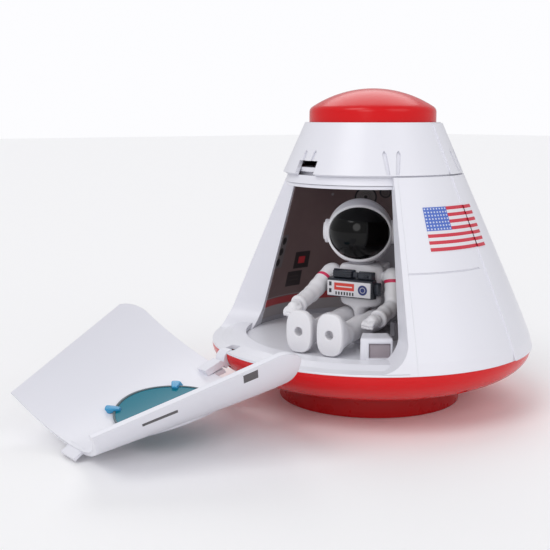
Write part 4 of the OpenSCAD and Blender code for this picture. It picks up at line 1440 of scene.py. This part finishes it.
    def arm(self, side: Side) -> None:
        """Makes one arm with its shoulder, cuff, painted band and mitt.

        Args:
            side: which arm.
        """
        s, name = side.value, side.name.lower()
        top = Vector((s * self.shoulder[0], 0.0, self.shoulder[2]))
        if side is Side.LEFT:
            elbow, wrist, fist = (20.5, -6.0, 9.5), (20.9, -24.5, 5.8), (19.2, -34.0, 5.0)
        else:
            elbow, wrist, fist = (-21.5, -15.0, 14.5), (-22.5, -29.0, 10.0), (-22.6, -36.0, 8.6)
        elbow, wrist, fist = Vector(elbow), Vector(wrist), Vector(fist)
        ahead = (wrist - elbow).normalized()
        start = top + Vector((s * 0.4, 0.0, 0.4))
        knots = [start, start.lerp(elbow, 0.5) + Vector((s * 0.3, 0.2, 0.0)), elbow, elbow.lerp(wrist, 0.55),
                 wrist - ahead * 1.0]
        sleeve = self.tube(knots, (4.9, 4.7, 4.5, 4.2, 4.3), 72, 0.16, 5.2, 0.7 * s)
        peg = [[self.seated((s * x, r * math.cos(a), self.shoulder[2] + r * math.sin(a)))
                for a in around(32)]
               for x, r in ((8.2, 2.0), (8.6, 2.5), (17.0, 2.5), (17.4, 2.0))]
        cuff = self.tube([wrist - ahead * 2.6, wrist - ahead * 1.2, wrist + ahead * 0.3], (4.3, 4.75, 4.4), 12)
        piece = self.joined(f"{name}_sleeve", [sleeve, self.ball(top, 5.2), skin_loops(peg), cuff], 0.42, 6)
        for vertex in piece.data.vertices:
            local = self.local(vertex.co / MM)
            off_peg = min((local - top).length, math.hypot(local.y, local.z - top.z)) > self.peg_clear
            if abs(local.x) < self.trunk_side and off_peg:
                local.x = s * self.trunk_side
                vertex.co = self.seated(local) * MM
        spot = self.seated(start.lerp(elbow, 0.16 if side is Side.LEFT else 0.34))
        axis = (self.seated(elbow) - self.seated(start)).normalized()
        finish = BandedSuit(f"{name}_banded_suit", SUIT.colour, roughness=0.42, subsurface=0.1,
                            relief=0.03, grain=1400.0, origin=tuple(spot), axis=tuple(axis), width=1.8)
        self.shop.keep(piece, finish, f"{name}_arm_body", "suit_white", f"{name}_arm")
        self.hand(side, wrist, fist, name)

    def hand(self, side: Side, wrist: Vector, fist: Vector, name: str) -> None:
        """Makes a mitt with four bent fingers and a thumb.

        Args:
            side: which hand.
            wrist: where the mitt starts.
            fist: the middle of the fingers.
            name: the side's word in names.
        """
        ahead = (fist - wrist).normalized()
        across = ahead.cross(Vector((0.0, 0.0, 1.0))).normalized()
        down = across.cross(ahead)
        if down.z > 0:
            down = -down
        parts = [self.tube([wrist + ahead * 0.6, wrist + ahead * 2.4, wrist + ahead * 4.2], (2.9, 3.5, 3.3), 10,
                           count=32),
                 self.ball(wrist + ahead * 4.6, 3.4)]
        for i in range(4):
            root = wrist + ahead * 5.4 + across * (i - 1.5) * 1.8
            tip = root + ahead * (4.6 - 0.5 * abs(i - 1.4)) + down * 1.0
            parts.append(self.tube([root - ahead, root + ahead * 2.2, tip, tip + down * 1.8],
                                   (1.15, 1.15, 1.05, 0.85), 14, count=20))
        inner = across if across.x * side.value < 0 else -across
        root = wrist + ahead * 2.6 + inner * 2.6
        parts.append(self.tube([root, root + ahead * 2.2 + inner * 1.0, root + ahead * 4.6 + inner * 0.5],
                               (1.4, 1.3, 1.0), 12, count=20))
        piece = self.joined(f"{name}_mitt", parts, 0.3, 3)
        self.shop.keep(piece, SUIT, f"{name}_arm_body", "suit_white", f"{name}_hand")

    def local(self, point: Sequence[float]) -> Vector:
        """Moves a point from the capsule's frame to the figure's own."""
        return Matrix.Rotation(math.radians(-self.turn), 3, "Z") @ (Vector(point) - Vector(self.at))

    def leg(self, side: Side) -> None:
        """Makes one leg as a single skin: hip, thigh, knee, shin, boot, sole and its peg hole.

        Args:
            side: which leg.
        """
        x, count = side.value * self.hip_x, 72
        rows = ((5.6, -0.2, 2.0, 2.0, 2.0), (5.2, -0.1, 3.9, 3.9, 2.0), (3.6, 0.0, 5.2, 5.2, 2.0),
                (1.0, 0.0, 5.75, 5.85, 2.0), (-3.0, 0.0, 5.85, 5.9, 2.0), (-8.0, -0.1, 5.8, 5.7, 2.0),
                (-13.0, -0.2, 5.75, 5.6, 2.0), (-17.0, -0.2, 5.8, 5.75, 2.0), (-20.0, 0.1, 5.8, 5.95, 2.0),
                (-23.0, 0.0, 5.7, 5.7, 2.0), (-28.0, -0.4, 5.55, 5.4, 2.0), (-33.0, -0.6, 5.4, 5.3, 2.0),
                (-37.0, -0.6, 5.5, 5.5, 2.0), (-38.4, -0.4, 5.9, 6.1, 2.0), (-39.4, -0.2, 5.9, 6.3, 2.0),
                (-40.2, 0.0, 5.6, 6.2, 2.1), (-43.5, 0.8, 5.9, 7.6, 2.2), (-46.5, 1.4, 6.2, 8.9, 2.4),
                (-49.4, 1.7, 6.5, 9.8, 2.6), (-50.4, 1.8, 6.5, 10.0, 2.8), (-50.7, 1.8, 6.9, 10.4, 2.8),
                (-51.2, 1.8, 7.0, 10.5, 2.8), (-53.2, 1.8, 7.0, 10.5, 2.8), (-53.8, 1.8, 6.75, 10.25, 2.8),
                (-54.0, 1.8, 6.3, 9.8, 2.8))
        loops = []
        for y, z, wide, high, power in rows:
            ring = []
            for a in around(count):
                crease = 0.16 * math.sin(y * 1.7 + 1.6 * math.sin(a + side.value)) if -36 < y < -4 else 0.0
                ring.append(self.seated((x + (wide + crease) * bent(math.cos(a), 2 / power), y,
                                         z + (high + crease) * bent(math.sin(a), 2 / power))))
            loops.append(ring)
        mouth, name = self.sole_y, side.name.lower()
        for y, radius in ((mouth, 3.1), (mouth, 2.5), (mouth + 0.3, 2.2), (-48.2, 2.2), (-48.0, 1.8)):
            loops.append([self.seated((x + radius * math.cos(a), y, self.sole_z + radius * math.sin(a)))
                          for a in around(count)])
        piece = new_piece(f"{name}_suit_leg", *skin_loops(loops), 42)
        self.shop.keep(piece, SUIT, f"{name}_leg_body", "suit_white", f"{name}_leg")


# ---------------------------------------------------------------- studio


@dataclass
class Studio:
    """The pale floor, the soft lights and the camera."""

    eye: Point = (0.3818, -0.3560, 0.1472)
    yaw: float = 142.56
    pitch: float = 9.1
    lens: float = 64.8
    sensor: float = 36.0
    nearest: float = 0.02
    farthest: float = 30.0
    floor_half: float = 6.0
    floor_drop: float = 0.0002
    room_level: float = 0.56

    def build(self) -> None:
        """Sets up the floor, the world, the lights and the camera."""
        scene = bpy.context.scene
        scene.view_settings.view_transform = "Standard"
        scene.world = self.room()
        mesh = bpy.data.meshes.new("floor")
        half = self.floor_half
        mesh.from_pydata([(-half, -half, 0), (half, -half, 0), (half, half, 0), (-half, half, 0)], [], [(0, 1, 2, 3)])
        floor = placed("studio_floor", mesh)
        floor.location.z = -self.floor_drop
        material = bpy.data.materials.new("floor_paper")
        material.use_nodes = True
        shader = material.node_tree.nodes["Principled BSDF"]
        shader.inputs["Base Color"].default_value = (0.97, 0.97, 0.98, 1.0)
        shader.inputs["Roughness"].default_value = 0.9
        mesh.materials.append(material)
        for lamp in (("key", (0.15, -1.0, 1.25), 32.0, 0.72), ("fill", (1.25, 0.15, 0.75), 40.0, 0.42),
                     ("back", (-0.8, 0.7, 1.1), 40.0, 0.5), ("front", (0.7, -1.0, 0.5), 25.0, 0.36)):
            self.lamp(*lamp)
        camera = bpy.data.cameras.new("camera")
        camera.lens, camera.sensor_width = self.lens, self.sensor
        camera.clip_start, camera.clip_end = self.nearest, self.farthest
        view = placed("camera", camera)
        yaw, pitch = math.radians(self.yaw), math.radians(self.pitch)
        aim = Vector((math.cos(pitch) * math.cos(yaw), math.cos(pitch) * math.sin(yaw), -math.sin(pitch)))
        view.location = self.eye
        view.rotation_euler = aim.to_track_quat("-Z", "Y").to_euler()
        scene.camera = view

    def room(self) -> bpy.types.World:
        """Makes an even pale room that lights softly and shows as white.

        Returns:
            The world.
        """
        world = bpy.data.worlds.new("soft_room")
        world.use_nodes = True
        nodes, links = world.node_tree.nodes, world.node_tree.links
        back = nodes["Background"]
        back.inputs[0].default_value = (0.98, 0.98, 1.0, 1.0)
        path, level = nodes.new("ShaderNodeLightPath"), nodes.new("ShaderNodeMapRange")
        level.inputs["To Min"].default_value = self.room_level
        level.inputs["To Max"].default_value = 1.0
        links.new(path.outputs["Is Camera Ray"], level.inputs["Value"])
        links.new(level.outputs[0], back.inputs[1])
        return world

    def lamp(self, name: str, place: Point, spread: float, power: float) -> None:
        """Adds a wide soft light that shines on the capsule from one side.

        Args:
            name: its name.
            place: the side it shines from, in metres.
            spread: its apparent width in degrees.
            power: its strength in watts per square metre.
        """
        light = bpy.data.lights.new(name, "SUN")
        light.angle, light.energy = math.radians(spread), power
        lamp = placed(name, light)
        lamp.location = place
        lamp.rotation_euler = (Vector((0.0, 0.0, 0.07)) - Vector(place)).to_track_quat("-Z", "Y").to_euler()


def main() -> None:
    """Loads the frame and builds every sub-assembly in order."""
    logging.basicConfig(level=logging.INFO, format="%(name)s %(message)s")
    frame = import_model()
    Studio().build()
    shop = Workshop(frame["nodes"])
    for part in (Base(shop), Cabin(shop), Nose(shop), Door(shop), Figure(shop)):
        part.build()


if __name__ == "__main__":
    main()
